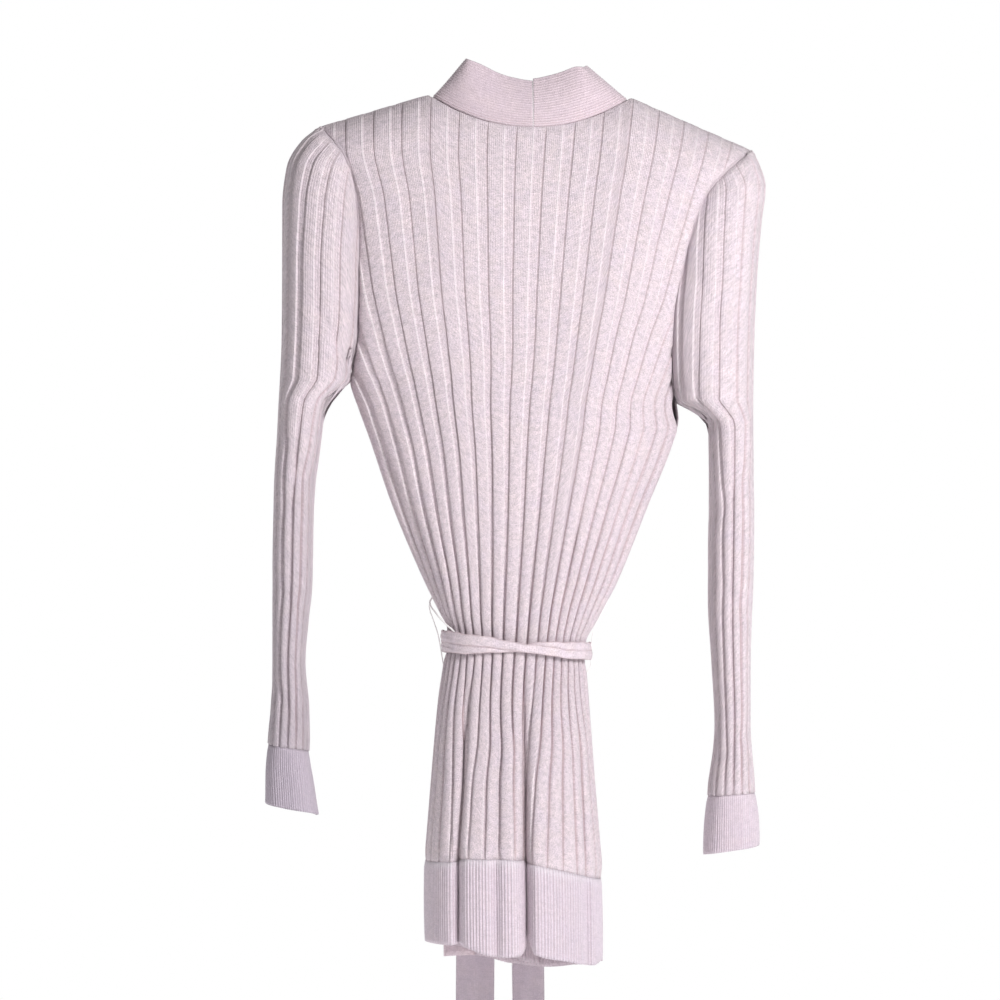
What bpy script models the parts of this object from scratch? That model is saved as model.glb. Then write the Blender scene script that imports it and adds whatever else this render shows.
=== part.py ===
"""A long-sleeved wrap cardigan in wide-rib knit. It is filled out with no wearer, its back faces -Y,
its front +Y, and the shoulder ridge lies in the plane Y = 0. Every number below is in millimetres."""

import math

import bmesh
import bpy
import numpy as np

MM = 0.001
PANEL_WALL = 1.8
BAND_WALL = 2.4
HALF_SEAM = 0.25
SEAM_STEP = 0.5
BAND_STEP = 1.6
ARMHOLE_STEP = 0.8
ROUNDNESS = 2.3
SHOULDER_RADIUS = 38.0
WAIST_Z = -493.5
WAIST_TILT = 0.1
NECK_DIP = -26.1
NECK_CENTRE_X = 1.8
RIGHT_END_T = -0.375
LEFT_END_T = 0.25

# Left edge of the body: height, x, and how far the armhole seam stands from the middle plane
LEFT_EDGE = [
    (-23.9, -189.0, 34), (-55, -164.7, 36), (-92, -155.7, 38), (-118, -153.9, 38), (-166, -153.9, 36),
    (-205, -154.8, 29), (-228, -157.5, 20), (-244, -161.0, 9), (-252, -162.9, 0), (-270, -158.4, 0),
    (-306, -145.8, 0), (-360, -126.9, 0), (-432, -96.3, 0), (-450, -88.0, 0), (-466, -80.0, 0),
    (-480, -70.8, 0), (-507, -70.8, 0), (-522, -78.0, 0), (-540, -82.8, 0), (-594, -86.4, 0),
    (-666, -92.7, 0), (-690, -95.2, 0), (-790, -94.5, 0),
]
RIGHT_EDGE = [
    (-45.9, 198.9, 34), (-51.3, 190.8, 34), (-63.9, 175.9, 36), (-75.6, 164.7, 37), (-91.8, 153.9, 38),
    (-128.7, 141.3, 38), (-152, 135.9, 37), (-183.6, 129.6, 35), (-211.5, 126.9, 30), (-240, 126.0, 20),
    (-258, 127.5, 9), (-271.8, 131.4, 0), (-288, 133.5, 0), (-306, 128.7, 0), (-360, 107.1, 0),
    (-432, 76.5, 0), (-450, 65.5, 0), (-466, 56.0, 0), (-480, 45.6, 0), (-507, 45.6, 0),
    (-522, 49.0, 0), (-540, 50.4, 0), (-594, 54.0, 0), (-666, 60.3, 0), (-690, 62.5, 0), (-790, 63.9, 0),
]
# Where the inner ribs run, with no jog at the armholes: height, x toward the left edge, x toward the right
RIB_LINES = [
    (5, -189, 199), (-100, -167, 158), (-200, -158, 139), (-290, -150, 131), (-360, -126.9, 107.1),
    (-432, -96.3, 76.5), (-480, -70.8, 45.6), (-507, -70.8, 45.6), (-540, -82.8, 50.4), (-610, -87.6, 55.5),
    (-690, -95.2, 62.5), (-790, -94.5, 63.9),
]
# Cross-sections: height, depth of the back, depth of the front, sine share of the rib spacing,
# rib height, inset of the under layer, depth of the skirt folds
SECTIONS = [
    (5, 28, 30, 0.10, 1.4, 0.0, 0), (-30, 38, 42, 0.10, 1.4, 0.0, 0), (-80, 50, 56, 0.15, 1.4, 0.5, 0),
    (-150, 57, 66, 0.20, 1.4, 4.6, 0), (-250, 60, 70, 0.30, 1.5, 4.8, 0), (-340, 58, 66, 0.40, 1.8, 5.0, 0),
    (-400, 54, 58, 0.40, 2.2, 5.4, 0), (-450, 50, 52, 0.40, 2.8, 6.4, 0), (-480, 46, 46, 0.40, 3.0, 6.6, 0),
    (-507, 46, 46, 0.40, 3.0, 6.6, 0), (-540, 53, 53, 0.40, 2.8, 6.6, 5), (-610, 64, 63, 0.40, 2.4, 6.6, 15),
    (-690, 72, 72, 0.40, 2.0, 6.6, 23), (-790, 76, 76, 0.40, 2.0, 6.6, 27),
]
DEPTH_BACK, DEPTH_FRONT, SINE_SHARE, RIB_HEIGHT, UNDER_INSET, FOLD_DEPTH = 1, 2, 3, 4, 5, 6
# Skirt folds: place across the panel, width, share of the fold depth
BACK_FOLDS = [(-0.50, 0.085, 1.0), (0.165, 0.085, 1.0)]
FRONT_FOLDS = [(-0.10, 0.10, 0.45), (0.72, 0.08, 0.45)]
SHOULDER_RIDGE = [(-189.0, -23.9), (-92.7, 4.5), (90.0, 1.8), (198.9, -45.9)]
LEFT_NECK = (-92.7, 4.5)
RIGHT_NECK = (90.0, 1.8)
# The wrap edges below the neck points: height and place across the front
LEFT_WRAP = [(-7, -0.465), (-20, -0.452), (-38, -0.437), (-60, -0.42), (-95, -0.405), (-130, -0.39),
             (-200, -0.335), (-235, -0.30), (-270, -0.26), (-330, -0.17), (-380, -0.05), (-420, 0.11), (-440, LEFT_END_T)]
RIGHT_WRAP = [(-8, 0.428), (-20, 0.415), (-38, 0.398), (-60, 0.38), (-95, 0.362), (-130, 0.345),
              (-200, 0.27), (-235, 0.222), (-270, 0.17), (-330, 0.05), (-380, -0.10), (-420, -0.27), (-440, RIGHT_END_T)]
UPPER_ROWS = [0, 0.01, 0.035, 0.09, 0.18, 0.30, 0.42, 0.532, 0.66, 0.82, 1.0]
ARMPIT_ROW = 7
ABOVE_WAIST_Z = -462
LOWER_ROWS = [-480, -507, -535, -610]
# Sleeve rings from the armhole down: outer x, outer z, inner x, inner z, half depth, bow toward the body
LEFT_SLEEVE = [
    (-206.5, -39.0, -171.0, -259.0, 45, 17), (-218.5, -61.5, -180.0, -266.0, 49, 9),
    (-222.3, -95.0, -184.5, -271.0, 52, 4), (-222.3, -150.0, -187.5, -283.0, 53, 0),
    (-222.7, -215.0, -190.0, -303.0, 52, 0), (-225.5, -280.0, -193.0, -328.0, 50, 0),
    (-229.2, -355.0, -197.2, -370.0, 47, 0), (-230.4, -430.0, -199.0, -436.0, 43, 0),
    (-230.6, -505.0, -205.2, -506.0, 40, 0), (-232.4, -548.0, -201.5, -548.0, 37, 0),
    (-235.8, -578.0, -200.5, -586.0, 34, 0),
]
LEFT_CUFF = [(-236.0, -578.6, -200.4, -586.6, 34, 0), (-238.2, -606.0, -196.0, -615.0, 35, 0),
             (-238.6, -631.0, -191.7, -643.0, 36, 0)]
RIGHT_SLEEVE = [
    (204.5, -58.5, 143.0, -278.0, 45, -15), (209.6, -79.0, 153.5, -285.0, 49, -8),
    (206.0, -110.0, 160.0, -290.0, 52, -3), (201.5, -165.0, 161.3, -301.0, 53, 0),
    (199.0, -225.0, 161.8, -320.0, 52, 0), (198.4, -258.0, 161.8, -334.0, 51, 0),
    (198.0, -290.0, 161.8, -347.0, 50, 0), (198.3, -330.0, 161.5, -368.0, 48.5, 0),
    (198.6, -370.0, 161.2, -388.0, 47, 0), (197.6, -440.0, 161.3, -448.0, 44, 0),
    (195.4, -505.0, 164.8, -508.0, 41, 0), (195.6, -560.0, 167.3, -562.0, 38, 0),
    (200.6, -622.0, 159.8, -626.0, 35, 0),
]
RIGHT_CUFF = [(200.7, -622.6, 159.6, -626.6, 35, 0), (203.6, -647.0, 157.2, -652.0, 36, 0),
              (205.2, -669.0, 155.8, -679.0, 37, 0)]
SLEEVE_RIBS = 12
# Neck part of the bands, centre back to neck point: rise of the free edge in x, y and z
LEFT_COLLAR_RISE = [(0, 24, 42), (-2, 22, 46), (2, 17, 50), (13, 10, 45), (34, 8, 32)]
RIGHT_COLLAR_RISE = [(0, 24, 44), (-3, 22, 47), (-9, 17, 48), (-23, 10, 40), (-40, 8, 28)]
# Front part of the bands: height, reach toward the opening, rise, and how far the free edge follows the chest
BAND_REACH = [
    (5, 36, 33, 0.0), (-14, 38, 32, 0.0), (-45, 44, 25, 0.1), (-90, 47, 18, 0.7), (-130, 48, 14, 1),
    (-200, 48, 13, 1), (-270, 48, 14, 1), (-330, 46, 16, 1), (-380, 42, 16, 1), (-420, 32, 10, 1),
    (-440, 26, 5, 1), (-462, 23, 1, 1), (-480, 22, 0, 1), (-507, 22, 0, 1), (-535, 23, 0, 1),
    (-610, 25, 0, 1), (-690, 27, 0, 1), (-790, 28, 0, 1),
]
BAND_STEPS = [0, 0.5, 1.0]
# Lower joins and hems of the panels: place across, height of the join, height of the hem
BACK_HEM = [(-1, -687.6, -758), (-0.6, -687, -761), (0, -686, -769), (0.5, -694, -777), (1, -702, -777)]
LEFT_FRONT_HEM = [(-1, -687.6, -758), (-0.6, -690, -765), (LEFT_END_T, -698, -782)]
RIGHT_FRONT_HEM = [(RIGHT_END_T, -700, -774), (0.3, -703, -785), (1, -702, -777)]
BELT_CLEAR = 3.6
BELT_THICK = 3.0
BELT_HALF_HEIGHT = 8.5
KNOT_CENTRE = (-20.0, 64.8, -495.0)
KNOT_HALF = (19.0, 11.0, 14.5)
# Belt tails: height, middle x, y, width
LEFT_TAIL = [(-509.9, -28.6, 64, 15), (-535, -35, 62, 22), (-600, -42, 71, 31), (-690, -48, 80, 35),
             (-775, -50.5, 83, 35), (-856, -51, 82, 35)]
RIGHT_TAIL = [(-509.9, -11.4, 64, 15), (-535, -9, 62, 22), (-600, -6, 71, 27), (-690, -4, 80, 29),
              (-775, -3, 83, 29), (-842, -2.5, 82, 29)]
LEFT_LOOP = [(-90.0, 0, -446), (-94.4, 0.6, -452), (-90.5, 1.2, -467), (-82.4, 1.0, -478), (-79.8, 0.4, -486),
             (-79.8, 0, -497), (-79.2, 0, -506), (-78.7, 0, -513)]
RIGHT_LOOP = [(74.9, 0, -441), (74.4, -1.0, -448), (67.5, -1.5, -463), (60.0, -1.5, -477), (55.2, -0.6, -489),
              (54.6, 0, -500), (54.2, 0, -509), (48.6, 0, -519)]
LOOP_RADIUS = 1.3
YARN = (0.82, 0.72, 0.76)
YARN_DARK = (0.70, 0.60, 0.65)


def read(rows, at, column):
    """Value of one column at a given first column, straight between the rows."""
    ordered = sorted(rows)
    return float(np.interp(at, [row[0] for row in ordered], [row[column] for row in ordered]))


def unit(vector):
    return vector / max(float(np.linalg.norm(vector)), 1e-9)


def across(t, z):
    """(x, share of the half width) of a place t across the body: -1 is the left edge and 1 the right."""
    left, right = read(RIB_LINES, z, 1), read(RIB_LINES, z, 2)
    sine = read(SECTIONS, z, SINE_SHARE)
    share = (1 - sine) * t + sine * math.sin(math.pi * t / 2)
    edge = read(LEFT_EDGE, z, 1) - left if t < 0 else read(RIGHT_EDGE, z, 1) - right
    return (left + right) / 2 + (right - left) / 2 * share + edge * abs(t) ** 4, share


def surface(x, share, z, face):
    """Point of the smooth body over x and z. face is -1 for the back and 1 for the front."""
    seam_depth = read(LEFT_EDGE if share < 0 else RIGHT_EDGE, z, 2)
    depth = read(SECTIONS, z, DEPTH_BACK if face < 0 else DEPTH_FRONT)
    bulge = max(0.0, 1 - abs(share) ** ROUNDNESS) ** (1 / ROUNDNESS)
    below_ridge = max(0.0, read(SHOULDER_RIDGE, x, 1) - z)
    turn = math.sqrt(1 - (1 - min(below_ridge / SHOULDER_RADIUS, 1)) ** 2)
    y = turn * (seam_depth + (depth - seam_depth) * bulge)
    tilt = WAIST_TILT * (x + 12.6) * math.exp(-(((z - WAIST_Z) / 55) ** 2))
    return np.array([x, face * (y + HALF_SEAM), z - tilt])


def body(t, z, face):
    """Point of the smooth body at a place across and a height, with the skirt's long folds."""
    t = min(1.0, max(-1.0, t))
    x, share = across(t, z)
    point = surface(x, share, z, face)
    depth = read(SECTIONS, z, FOLD_DEPTH)
    for middle, width, part in BACK_FOLDS if face < 0 else FRONT_FOLDS:
        off = (t - middle) / width
        point[1] -= face * depth * part * math.exp(-off * off)
        point[0] -= 0.2 * depth * part * off * math.exp(-off * off)
    return point


def outward(t, z, face):
    side = body(t + 0.004, z, face) - body(t - 0.004, z, face)
    rise = body(t, z + 0.4, face) - body(t, z - 0.4, face)
    return unit(-face * np.cross(side, rise))


def place_of(x, z):
    """The place across that has this x."""
    low, high = -1.0, 1.0
    for _ in range(40):
        middle = (low + high) / 2
        low, high = (middle, high) if across(middle, z)[0] < x else (low, middle)
    return low


LEFT_NECK_T = place_of(*LEFT_NECK)
RIGHT_NECK_T = place_of(*RIGHT_NECK)


def neck_line(x):
    side = LEFT_NECK if x < NECK_CENTRE_X else RIGHT_NECK
    share = abs((x - NECK_CENTRE_X) / (side[0] - NECK_CENTRE_X))
    return NECK_DIP + (side[1] - NECK_DIP) * share ** 2.2


def meets_line(t, line):
    """The height at which a column reaches a line drawn over x."""
    low, high = -140.0, 30.0
    for _ in range(40):
        middle = (low + high) / 2
        low, high = (middle, high) if middle < line(across(t, middle)[0]) else (low, middle)
    return low


def ridge_line(x):
    return read(SHOULDER_RIDGE, x, 1)


def on_shoulder(t):
    return t <= LEFT_NECK_T + 1e-6 or t >= RIGHT_NECK_T - 1e-6


def top_of(t, face, wrap):
    if on_shoulder(t):
        return meets_line(t, ridge_line)
    if face < 0:
        return meets_line(t, neck_line)
    neck = (LEFT_NECK[1], LEFT_NECK_T) if wrap is LEFT_WRAP else (RIGHT_NECK[1], RIGHT_NECK_T)
    places = sorted((place, height) for height, place in [neck] + wrap)
    return float(np.interp(t, [place for place, _ in places], [height for _, height in places]))


def column_heights(t, face, wrap, hem):
    top = top_of(t, face, wrap)
    shares = list(UPPER_ROWS)
    shares[ARMPIT_ROW] += 0.011 * t
    upper = [top + (ABOVE_WAIST_Z - top) * share for share in shares]
    return upper + LOWER_ROWS + [read(hem, t, 1)]


def armpit_height(t):
    return LEFT_EDGE[8][0] if t < 0 else RIGHT_EDGE[11][0]


def panel_frame(t, z, face, top_row, inset):
    """(point, outward direction) of a panel. Seam edges turn no way past the middle plane."""
    point, normal = body(t, z, face), outward(t, z, face)
    if top_row and on_shoulder(t):
        normal = np.array([0.0, 0.0, 1.0])
    elif abs(t) > 0.999 and z <= armpit_height(t) + 6:
        normal = np.array([math.copysign(1.0, t), 0.0, 0.0])
    return point - inset * normal, normal


def rib_columns(start, end, ribs, extra=()):
    """Places across for the outer face with how raised each is, and for the plain inner face."""
    pitch = (end - start) / ribs
    profile = [(0, 0), (0.18, 0), (0.27, 1), (0.73, 1), (0.82, 0), (1, 0)]
    outer = [start]
    for rib in range(ribs):
        outer += [start + pitch * (rib + at) for at, _ in profile[1:-1]]
    outer.append(end)
    inner = [start + pitch * step / 2 for step in range(2 * ribs + 1)]

    def with_extra(places, nearest):
        kept = [t for t in places if t in (start, end) or all(abs(t - more) > nearest for more in extra)]
        return sorted(kept + [more for more in extra], key=lambda t: abs(t - start))

    outer = with_extra(outer, 0.003)
    return [(t, read(profile, abs((t - start) / pitch) % 1, 1)) for t in outer], with_extra(inner, 0.012)


def extra_places(face, wrap):
    """Places where a panel's top edge turns a corner, so that it needs a column of its own."""
    if face < 0:
        return [LEFT_NECK_T, LEFT_NECK_T + 0.006, LEFT_NECK_T + 0.02, RIGHT_NECK_T - 0.02, RIGHT_NECK_T - 0.006,
                RIGHT_NECK_T]
    return [LEFT_NECK_T if wrap is LEFT_WRAP else RIGHT_NECK_T] + [t for z, t in wrap if z > -280]


def material(name, colour):
    made = bpy.data.materials.new(name)
    made.use_nodes = True
    made.node_tree.nodes["Principled BSDF"].inputs["Base Color"].default_value = (*colour, 1)
    made.node_tree.nodes["Principled BSDF"].inputs["Roughness"].default_value = 0.9
    return made


def zip_faces(mesh, first, first_at, second, second_at):
    """Triangles between two rows of points that are counted differently."""
    i, j = 0, 0
    while i < len(first) - 1 or j < len(second) - 1:
        if j == len(second) - 1 or (i < len(first) - 1 and first_at[i + 1] <= second_at[j + 1]):
            mesh.faces.new((first[i], first[i + 1], second[j]))
            i += 1
        else:
            mesh.faces.new((first[i], second[j + 1], second[j]))
            j += 1


def wall(name, outer, outer_at, inner, inner_at, ring, colour):
    """A closed cloth wall from a grid of outer points and a grid of inner points with the same rows."""
    mesh = bmesh.new()
    grids = [[[mesh.verts.new(np.asarray(point) * MM) for point in row] for row in grid] for grid in (outer, inner)]
    for grid in grids:
        for upper, lower in zip(grid, grid[1:]):
            count = len(upper) if ring else len(upper) - 1
            for i in range(count):
                j = (i + 1) % len(upper)
                mesh.faces.new((upper[i], upper[j], lower[j], lower[i]))
    outer_grid, inner_grid = grids
    for row in (0, -1):
        first, second = list(outer_grid[row]), list(inner_grid[row])
        first_at, second_at = list(outer_at), list(inner_at)
        if ring:
            first.append(first[0])
            second.append(second[0])
            first_at.append(first_at[0] + 1)
            second_at.append(second_at[0] + 1)
        zip_faces(mesh, first, first_at, second, second_at)
    if not ring:
        for column in (0, -1):
            for row in range(len(outer_grid) - 1):
                mesh.faces.new((outer_grid[row][column], outer_grid[row + 1][column],
                                inner_grid[row + 1][column], inner_grid[row][column]))
    bmesh.ops.recalc_face_normals(mesh, faces=mesh.faces)
    finish(name, mesh, colour)


def finish(name, mesh, colour):
    data = bpy.data.meshes.new(name)
    mesh.to_mesh(data)
    mesh.free()
    made = bpy.data.objects.new(name, data)
    bpy.context.collection.objects.link(made)
    data.materials.append(material(name + "_knit", colour))


def panel(name, start, end, ribs, face, wrap, hem, under=False):
    outer_columns, inner_columns = rib_columns(start, end, ribs, extra_places(face, wrap))

    def inset_at(t, z):
        ramp = min(1.0, abs(t - start) / 0.15) if under else 0.0
        return ramp * read(SECTIONS, z, UNDER_INSET)

    def column(t, lift):
        points = []
        for row, z in enumerate(column_heights(t, face, wrap, hem)):
            point, normal = panel_frame(t, z, face, row == 0, inset_at(t, z))
            height = lift * read(SECTIONS, z, RIB_HEIGHT) if lift >= 0 else lift * PANEL_WALL
            points.append(point + height * normal)
        return points

    outer = list(zip(*[column(t, raised) for t, raised in outer_columns]))
    inner = list(zip(*[column(t, -1) for t in inner_columns]))
    span = end - start
    wall(name, outer, [(t - start) / span for t, _ in outer_columns], inner,
         [(t - start) / span for t in inner_columns], False, YARN)


def hem_band(name, start, end, steps, face, hem, under=False):
    """Fine-ribbed hem that carries a panel on below its join."""
    places = [start + (end - start) * step / steps for step in range(steps + 1)]

    def point_at(t, share, depth):
        join, low = read(hem, t, 1) - SEAM_STEP, read(hem, t, 2)
        z = join + (low - join) * share
        ramp = min(1.0, abs(t - start) / 0.15) if under else 0.0
        point, normal = panel_frame(t, z, face, False, ramp * read(SECTIONS, z, UNDER_INSET))
        return point - depth * normal

    grids = [[[point_at(t, share, depth) for t in places] for share in (0, 0.5, 1)] for depth in (0, BAND_WALL)]
    at = [step / steps for step in range(steps + 1)]
    wall(name, grids[0], at, grids[1], at, False, YARN_DARK)


def armhole_edge(t, face):
    """The rows of a panel's edge from the shoulder point to the armpit."""
    wrap = LEFT_WRAP if t < 0 else RIGHT_WRAP
    hem = BACK_HEM if face < 0 else (LEFT_FRONT_HEM if t < 0 else RIGHT_FRONT_HEM)
    return [body(t, z, face) for z in column_heights(t, face, wrap, hem)[: ARMPIT_ROW + 1]]


def along(points, share):
    lengths = [0.0]
    for first, second in zip(points, points[1:]):
        lengths.append(lengths[-1] + float(np.linalg.norm(second - first)))
    return np.array([np.interp(share * lengths[-1], lengths, [point[axis] for point in points]) for axis in range(3)])


def sleeve_ring(side, rings, index, turn, edges):
    """Point of a sleeve ring. turn runs 0 to 1 from the outer edge over the back to the inner edge and on."""
    turn %= 1.0
    if index == 0 and edges:
        share = 2 * turn if turn <= 0.5 else 2 * (1 - turn)
        point = along(edges[0] if turn <= 0.5 else edges[1], share)
        point[0] += side * ARMHOLE_STEP
        return point
    row = rings[index - 1 if edges else index]
    angle = 2 * math.pi * turn
    outer, inner = np.array([row[0], 0, row[1]]), np.array([row[2], 0, row[3]])
    point = (outer + inner) / 2 + (outer - inner) / 2 * math.cos(angle)
    point[0] += row[5] * math.sin(angle) ** 2
    point[1] = -row[4] * math.sin(angle)
    return point


def sleeve(name, side, rings, ribs, rib_height, edges, thickness, colour):
    count = len(rings) + (1 if edges else 0)

    def frame(index, turn):
        before, after = max(index - 1, 0), min(index + 1, count - 1)
        across_ring = sleeve_ring(side, rings, index, turn + 0.004, edges)
        across_ring = across_ring - sleeve_ring(side, rings, index, turn - 0.004, edges)
        down = sleeve_ring(side, rings, after, turn, edges) - sleeve_ring(side, rings, before, turn, edges)
        normal = unit(side * np.cross(across_ring, down))
        if index == 0 and edges:
            normal = unit(np.array([0.0, normal[1], normal[2]]))
        return sleeve_ring(side, rings, index, turn, edges), normal

    outer_columns = rib_columns(0, 1, ribs)[0][1:-1] if rib_height else [(step / 24, 0) for step in range(24)]
    inner_turns = [step / 24 for step in range(24)]
    outer, inner = [], []
    for index in range(count):
        height = rib_height * (0.5 if index == 0 else 1)
        frames = [frame(index, turn) + (raised,) for turn, raised in outer_columns]
        outer.append([point + height * raised * normal for point, normal, raised in frames])
        inner.append([point - thickness * normal for point, normal in (frame(index, turn) for turn in inner_turns)])
    wall(name, outer, [turn for turn, _ in outer_columns], inner, inner_turns, True, colour)


def chest_point(x, z, inset):
    t = place_of(x, z)
    return body(t, z, 1) - inset * outward(t, z, 1)


def neck_stations(side, rise):
    """Stations of a band along the back neck: base, outward direction and offset of the free edge."""
    neck_t = LEFT_NECK_T if side < 0 else RIGHT_NECK_T
    middle_t = place_of(NECK_CENTRE_X, NECK_DIP)
    columns, _ = rib_columns(-1, 1, 16, extra_places(-1, None))
    inside = [t for t, _ in columns if 0.01 < (t - middle_t) / (neck_t - middle_t) < 0.999]
    places = [middle_t] + sorted(inside, key=lambda t: abs(t - middle_t))
    shares = [0, 0.27, 0.52, 0.77, 1]
    stations = []
    for t in places:
        share = (t - middle_t) / (neck_t - middle_t)
        z = meets_line(t, neck_line)
        base, normal = body(t, z, -1), outward(t, z - 0.5, -1)
        if t == middle_t:
            base[0] = NECK_CENTRE_X + side * HALF_SEAM
        offset = [float(np.interp(share, shares, [row[axis] for row in rise])) for axis in range(3)]
        stations.append((base, normal, np.array(offset)))
    neck = LEFT_NECK if side < 0 else RIGHT_NECK
    stations.append((np.array([neck[0], 0.0, neck[1]]), unit(np.array([side * 0.5, 0.0, 0.85])),
                     np.array(rise[-1], float)))
    return stations


def front_stations(side, wrap, hem, under):
    """Stations of a band down the wrap edge and on to the hem."""
    neck_t = LEFT_NECK_T if side < 0 else RIGHT_NECK_T
    end_t = LEFT_END_T if side < 0 else RIGHT_END_T
    ribs = 10 if side < 0 else 11
    columns, _ = rib_columns(side, end_t, ribs, extra_places(1, wrap))
    heights = [(t, top_of(t, 1, wrap)) for t, _ in columns if abs(t - side) > abs(neck_t - side) + 1e-4]
    heights += [(end_t, z) for z in [ABOVE_WAIST_Z] + LOWER_ROWS + [read(hem, end_t, 1), read(hem, end_t, 2)]]
    stations = []
    for t, z in heights:
        inset = read(SECTIONS, z, UNDER_INSET) if under else 0.0
        base, normal = panel_frame(t, z, 1, False, inset)
        reach, lift, follow = (read(BAND_REACH, z, column) for column in (1, 2, 3))
        free = chest_point(base[0] - side * reach, z + lift, inset)
        loose = base + np.array([-side * reach, 9.0, lift])
        stations.append((base, normal, (free - base) * follow + (loose - base) * (1 - follow)))
    return stations


def band(name, side, rise, wrap, hem, under):
    """Collar and front band in one: centre back, round the neck, down the wrap edge to the hem."""
    back_part = neck_stations(side, rise)
    stations = back_part + front_stations(side, wrap, hem, under)
    outer, inner = [[] for _ in BAND_STEPS], [[] for _ in BAND_STEPS]
    for index, (base, normal, offset) in enumerate(stations):
        before, after = stations[max(index - 1, 0)], stations[min(index + 1, len(stations) - 1)]
        for step, share in enumerate(BAND_STEPS):
            tangent = (after[0] + after[2] * share) - (before[0] + before[2] * share)
            lean = unit(np.cross(tangent, offset))
            lean = lean if float(np.dot(lean, normal)) > 0 else -lean
            lean = normal if step == 0 else lean
            point = base + unit(offset) * BAND_STEP + offset * share
            if step == 1:
                follow = read(BAND_REACH, base[2], 3) if index >= len(back_part) else 0.0
                chest = chest_point(point[0], point[2], read(SECTIONS, point[2], UNDER_INSET) if under else 0.0)
                point[1] += (chest[1] - point[1]) * follow
            outer[step].append(point)
            inner[step].append(point - BAND_WALL * lean)
    count = len(stations)
    at = [index / (count - 1) for index in range(count)]
    wall(name, outer, at, inner, at, False, YARN_DARK)


def belt_ring():
    left, right = read(LEFT_EDGE, WAIST_Z, 1), read(RIGHT_EDGE, WAIST_Z, 1)
    middle, half_width = (left + right) / 2, (right - left) / 2
    half_depth = read(SECTIONS, WAIST_Z, DEPTH_FRONT) + HALF_SEAM
    turns = [step / 44 for step in range(44)]

    def point(turn, up, out):
        angle = 2 * math.pi * turn
        c, s = math.cos(angle), math.sin(angle)
        power = 2 / ROUNDNESS
        x = middle + (half_width + out) * math.copysign(abs(c) ** power, c)
        y = (half_depth + out) * math.copysign(abs(s) ** power, s)
        return np.array([x, y, WAIST_Z + up * BELT_HALF_HEIGHT - WAIST_TILT * (x - middle)])

    rows = [(1, 0), (0.5, 0.6), (-0.5, 0.6), (-1, 0)]
    outer = [[point(turn, up, BELT_CLEAR + BELT_THICK + bulge) for turn in turns] for up, bulge in rows]
    inner = [[point(turn, up, BELT_CLEAR) for turn in turns] for up, _ in rows]
    wall("belt_wrap", outer, turns, inner, turns, True, YARN_DARK)


def knot():
    mesh = bmesh.new()
    bmesh.ops.create_uvsphere(mesh, u_segments=16, v_segments=10, radius=1)
    for vertex in mesh.verts:
        for axis in range(3):
            vertex.co[axis] = (KNOT_CENTRE[axis] + vertex.co[axis] * KNOT_HALF[axis]) * MM
    finish("belt_knot", mesh, YARN_DARK)


def tail(name, rows):
    outer = [[(x + width * share, y + 1.5, z) for share in (-0.5, 0, 0.5)] for z, x, y, width in rows]
    inner = [[(x + width * share, y - 1.5, z) for share in (-0.5, 0, 0.5)] for z, x, y, width in rows]
    wall(name, outer, [0, 0.5, 1], inner, [0, 0.5, 1], False, YARN_DARK)


def loop(name, points):
    """A thread chain swept along its points."""
    sides = 8
    mesh = bmesh.new()
    rings = []
    for index, point in enumerate(points):
        before, after = points[max(index - 1, 0)], points[min(index + 1, len(points) - 1)]
        way = unit(np.subtract(after, before).astype(float))
        flat = unit(np.cross(way, (0.0, 1.0, 0.0)))
        deep = np.cross(way, flat)
        ring = []
        for step in range(sides):
            angle = 2 * math.pi * step / sides
            offset = LOOP_RADIUS * (math.cos(angle) * flat + math.sin(angle) * deep)
            ring.append(mesh.verts.new((np.array(point, float) + offset) * MM))
        rings.append(ring)
    for upper, lower in zip(rings, rings[1:]):
        for i in range(sides):
            j = (i + 1) % sides
            mesh.faces.new((upper[i], upper[j], lower[j], lower[i]))
    mesh.faces.new(rings[0])
    mesh.faces.new(rings[-1])
    bmesh.ops.recalc_face_normals(mesh, faces=mesh.faces)
    finish(name, mesh, YARN)


def clear_scene():
    for existing in list(bpy.data.objects):
        bpy.data.objects.remove(existing, do_unlink=True)


clear_scene()
panel("back", -1, 1, 16, -1, None, BACK_HEM)
panel("front_left", -1, LEFT_END_T, 10, 1, LEFT_WRAP, LEFT_FRONT_HEM, under=True)
panel("front_right", 1, RIGHT_END_T, 11, 1, RIGHT_WRAP, RIGHT_FRONT_HEM)
hem_band("hem_back", -1, 1, 32, -1, BACK_HEM)
hem_band("hem_front_left", -1, LEFT_END_T, 20, 1, LEFT_FRONT_HEM, under=True)
hem_band("hem_front_right", 1, RIGHT_END_T, 22, 1, RIGHT_FRONT_HEM)
left_edges = (armhole_edge(-1, -1), armhole_edge(-1, 1))
right_edges = (armhole_edge(1, -1), armhole_edge(1, 1))
sleeve("sleeve_left", -1, LEFT_SLEEVE, SLEEVE_RIBS, 1.4, left_edges, PANEL_WALL, YARN)
sleeve("sleeve_right", 1, RIGHT_SLEEVE, SLEEVE_RIBS, 1.4, right_edges, PANEL_WALL, YARN)
sleeve("cuff_left", -1, LEFT_CUFF, 0, 0, None, BAND_WALL, YARN_DARK)
sleeve("cuff_right", 1, RIGHT_CUFF, 0, 0, None, BAND_WALL, YARN_DARK)
band("band_left", -1, LEFT_COLLAR_RISE, LEFT_WRAP, LEFT_FRONT_HEM, True)
band("band_right", 1, RIGHT_COLLAR_RISE, RIGHT_WRAP, RIGHT_FRONT_HEM, False)
belt_ring()
knot()
tail("belt_tail_left", LEFT_TAIL)
tail("belt_tail_right", RIGHT_TAIL)
loop("belt_loop_left", LEFT_LOOP)
loop("belt_loop_right", RIGHT_LOOP)
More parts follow.
